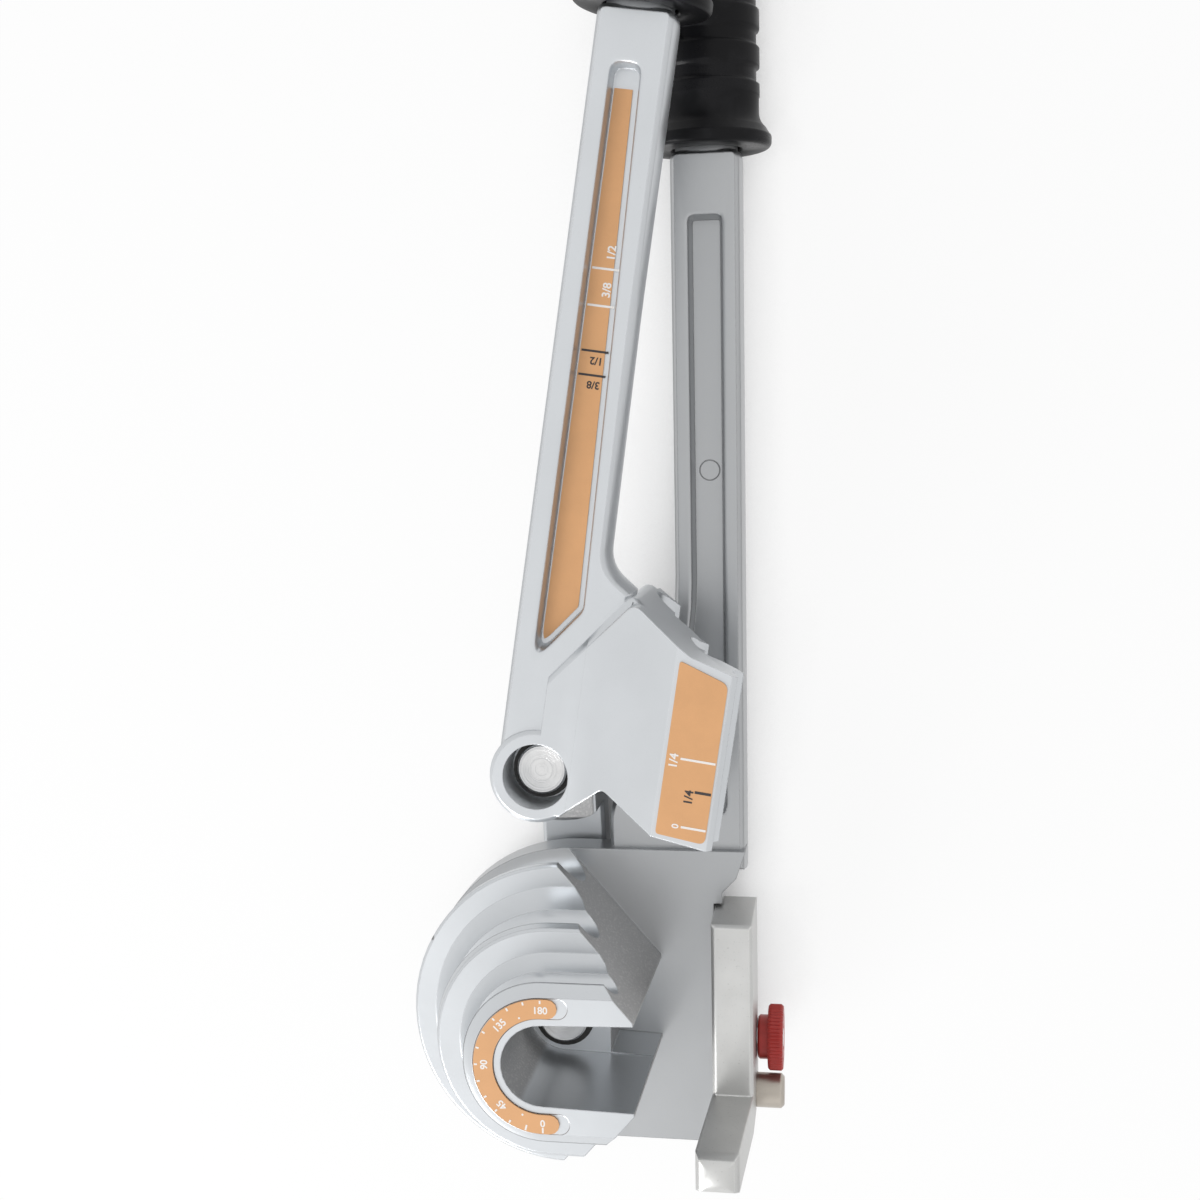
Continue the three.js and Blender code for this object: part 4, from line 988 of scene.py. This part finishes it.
class BENDER_OT_knob(bpy.types.Operator):
    """Make the knurled thumb knob and dress its screw"""

    bl_idname = "bender.knob"
    bl_label = "Thumb Knob"

    def execute(self, context):
        settings = context.scene.bender_knob
        low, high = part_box("hook_knob")
        length = high.x - low.x
        hub, radius, bore = 5.5 * MM, settings.radius, 2.8 * MM
        hub_end, chamfer = 2.6 * MM, 0.5 * MM
        profile = [(bore, length - 0.4 * MM), (bore, 0), (hub - chamfer, 0), (hub, chamfer)]
        profile += [(hub, hub_end), (radius - chamfer, hub_end), (radius, hub_end + chamfer)]
        profile += [(radius, y) for y in along(hub_end + chamfer, length - chamfer, 6)]
        profile += [(radius - chamfer, length), (hub + 0.6 * MM, length)]
        profile += [(hub + 0.3 * MM, length - 0.35 * MM), (hub, length - 0.35 * MM)]
        profile += [(hub - 0.3 * MM, length), (bore + 0.4 * MM, length), (bore, length - 0.4 * MM)]
        red = knob_finish("Red lacquer", settings)
        knob = lathe("hook_knob_red", profile, settings.teeth * 6)
        knurl_tree().use(
            knob, Teeth=settings.teeth, Tooth=settings.tooth, Radius=radius, Material=red)
        turn = Matrix(((0, 1, 0, 0), (0, 0, 1, 0), (1, 0, 0, 0), (0, 0, 0, 1)))
        knob.data.transform(Matrix.Translation((low.x, KNOB_AXIS.y, KNOB_AXIS.z)) @ turn)
        knob.data.set_sharp_from_angle(angle=math.radians(40))
        seat(knob, "knob", "red_knob", red, ["hook_knob"])
        steel = turned_finish("Screw steel", KNOB_AXIS, "X")
        dress("hook_screw_turned", ["hook_screw"], "knob", "turned_steel", steel)
        return {"FINISHED"}


class BENDER_OT_dial(bpy.types.Operator):
    """Print the angle scale on top of the form"""

    bl_idname = "bender.dial"
    bl_label = "Angle Scale"

    def execute(self, context):
        settings = context.scene.bender_scale
        dress_label("angle_scale_label", label_finish("Dial label", settings))
        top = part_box("angle_scale_label")[1].z
        white = Print("dial_marks", Matrix.Translation((0, 0, top)), settings.ink)
        quarter, outer, middle = math.radians(90), 15.7, 13.3
        count = round(math.pi / settings.dial_step) + 1
        marks = new_piece("marks", bpy.data.meshes.new("marks"))
        tick_tree().use(
            marks, Count=count, Step=settings.dial_step, Start=quarter, Radius=outer * MM,
            Length=0.75 * MM, Width=0.42 * MM, Height=settings.ink * 2, Long=1.3 * MM,
            Long_From=count - 2)
        white.add(marks)
        zero, inner, dot = 270, 12.4, 0.25
        for shown in (180, 135, 90, 45, 0):
            place = math.radians(zero - shown)
            x, y = middle * math.cos(place), middle * math.sin(place)
            white.number(str(shown), settings.dial_digit, x, y, zero - shown - 90)
        for shown in (157, 22):
            place = math.radians(zero - shown)
            white.dot(inner * math.cos(place), inner * math.sin(place), dot)
        white.finish("body", "orange_label", ink_finish("Dial ink", settings.white))
        return {"FINISHED"}


class BENDER_OT_lever_scales(bpy.types.Operator):
    """Print the two scales on the lever"""

    bl_idname = "bender.lever_scales"
    bl_label = "Lever Scales"

    def execute(self, context):
        settings = context.scene.bender_scale
        orange = label_finish("Lever label", settings)
        white = ink_finish("White ink", settings.white)
        black = ink_finish("Black ink", settings.black)
        for scale, marks in (("handle_scale", self.handle_marks), ("shoe_scale", self.shoe_marks)):
            dress_label(f"{scale}_label", orange)
            place = lever_place(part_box(f"{scale}_label")[1].z)
            light = Print(f"{scale}_white", place, settings.ink)
            dark = Print(f"{scale}_black", place, settings.ink)
            marks(light, dark, settings)
            light.finish("lever", "orange_label", white)
            dark.finish("lever", "orange_label", black)
        return {"FINISHED"}

    def handle_marks(self, light, dark, settings):
        """Lines across the handle's scale, with the size of a tube beside each."""
        left, right, half = -3.1, 3.1, 0.25
        for v, text in ((116.5, "1/2"), (108.3, "3/8")):
            light.bar(left, v - half, right, v + half)
            light.number(text, settings.digit, 0.9, v + 3.6, 90)
        for v, text in ((98.2, "1/2"), (92.8, "3/8")):
            dark.bar(left, v - half, right, v + half)
            dark.number(text, settings.digit * 0.9, 0.6, v - 2.1, 180)

    def shoe_marks(self, light, dark, settings):
        """The pale border of the shoe's scale, and its marks from nought to a quarter inch."""
        light.rim("shoe_scale_label", settings.border)
        right = 41.3
        light.bar(33.6, 13.05, right, 13.55)
        light.bar(35.8, -2.05, right, -1.55)
        dark.bar(37.7, 6.1, right, 6.7)
        light.number("1/4", settings.digit, 32.2, 12.6, 90)
        light.number("0", settings.digit * 0.8, 34.6, -1.8, 90)
        dark.number("1/4", settings.digit, 36.6, 5.0, 90)


class BENDER_OT_stage(bpy.types.Operator):
    """Set the floor, the soft light and the camera"""

    bl_idname = "bender.stage"
    bl_label = "Stage"

    def execute(self, context):
        settings = context.scene.bender_stage
        self.floor(settings)
        self.sky(settings)
        middle = (CAD_BOX[0] + CAD_BOX[1]) / 2
        for name, lamp in LAMPS.items():
            self.softbox(name, middle, *lamp)
        camera = bpy.data.objects.new("camera", bpy.data.cameras.new("camera"))
        context.scene.collection.objects.link(camera)
        camera.data.lens = settings.lens
        camera.data.sensor_width = 36
        camera.data.clip_start = 0.01
        camera.location = settings.camera_at
        camera.rotation_euler = Euler(settings.camera_turn)
        context.scene.camera = camera
        context.scene.view_settings.view_transform = "Standard"
        return {"FINISHED"}

    def softbox(self, name, target, place, size, power):
        light = bpy.data.lights.new(name, "AREA")
        light.shape = "SQUARE"
        light.size = size
        light.energy = power
        lamp = bpy.data.objects.new(name, light)
        lamp.location = place
        lamp.rotation_euler = (target - Vector(place)).to_track_quat("-Z", "Y").to_euler()
        bpy.context.scene.collection.objects.link(lamp)

    def floor(self, settings):
        """A pale floor that shows as white, but stays dark close under the tool."""
        half, drop, shade, white_share = 3.0, -0.05 * MM, 60 * MM, 0.9
        mesh = bpy.data.meshes.new("floor")
        mesh.from_pydata(
            [(-half, -half, drop), (half, -half, drop), (half, half, drop), (-half, half, drop)],
            [], [(0, 1, 2, 3)])
        floor = new_piece("floor", mesh)
        finish = Finish("Pale floor", Roughness=0.8)
        mottle = finish.noise(60 * MM, 3)
        base = finish.mix(mottle, tint(settings.floor, 0.98), tint(settings.floor, 1.02))
        finish.set(Base_Color=base)
        under = finish.add("ShaderNodeAmbientOcclusion", {"samples": 4}, {"Distance": shade})
        open_floor = finish.smooth(finish.out(under, "AO"), 0.22, 0.42)
        glow = finish.add("ShaderNodeEmission", None, {"Color": (1, 1, 1, 1), "Strength": 1.0})
        blend = finish.add(
            "ShaderNodeMixShader", None,
            {0: self.seen(finish) * open_floor * white_share,
             1: finish.out(finish.shader), 2: finish.out(glow)})
        finish.feed(finish.tree.nodes["Material Output"].inputs["Surface"], finish.out(blend))
        mesh.materials.append(finish.material)

    def sky(self, settings):
        """Even light from all sides, which shows as white."""
        world = bpy.data.worlds.new("Soft sky")
        world.use_nodes = True
        bpy.context.scene.world = world
        nodes = Nodes(world.node_tree)
        back = world.node_tree.nodes["Background"]
        back.inputs["Color"].default_value = (1, 1, 1, 1)
        strength = settings.sky + self.seen(nodes) * (1 - settings.sky)
        nodes.feed(back.inputs["Strength"], strength)

    def seen(self, nodes):
        """1 where the camera, a reflection or a see-through piece shows the backdrop."""
        path = nodes.add("ShaderNodeLightPath")
        seen = nodes.math(
            "MAXIMUM", nodes.out(path, "Is Camera Ray"), nodes.out(path, "Is Glossy Ray"))
        return nodes.math("MAXIMUM", seen, nodes.out(path, "Is Transmission Ray"))


class BENDER_PT_panel(bpy.types.Panel):
    """Lists the makers of the tool's pieces"""

    bl_idname = "BENDER_PT_panel"
    bl_label = "Tube Bender"
    bl_space_type = "VIEW_3D"
    bl_region_type = "UI"
    bl_category = "Tube Bender"

    def draw(self, context):
        for maker in MAKERS:
            self.layout.operator(maker.bl_idname)
        for group in GROUPS:
            settings = getattr(context.scene, group)
            for name in settings.bl_rna.properties.keys():
                if name not in ("rna_type", "name"):
                    self.layout.prop(settings, name)


GROUPS = {
    "bender_casting": CastingSettings,
    "bender_grip": GripSettings,
    "bender_scale": ScaleSettings,
    "bender_knob": KnobSettings,
    "bender_stage": StageSettings,
}
MAKERS = (
    BENDER_OT_stage, BENDER_OT_body, BENDER_OT_link, BENDER_OT_lever, BENDER_OT_pins,
    BENDER_OT_grips, BENDER_OT_hook, BENDER_OT_knob, BENDER_OT_dial, BENDER_OT_lever_scales,
)


def register():
    for group in GROUPS.values():
        bpy.utils.register_class(group)
    for name, group in GROUPS.items():
        setattr(bpy.types.Scene, name, PointerProperty(type=group))
    for maker in (*MAKERS, BENDER_PT_panel):
        bpy.utils.register_class(maker)


def unregister():
    for maker in (BENDER_PT_panel, *MAKERS[::-1]):
        bpy.utils.unregister_class(maker)
    for name, group in GROUPS.items():
        delattr(bpy.types.Scene, name)
        bpy.utils.unregister_class(group)


def main():
    register()
    for maker in MAKERS:
        category, name = maker.bl_idname.split(".")
        getattr(getattr(bpy.ops, category), name)()


if __name__ == "__main__":
    main()
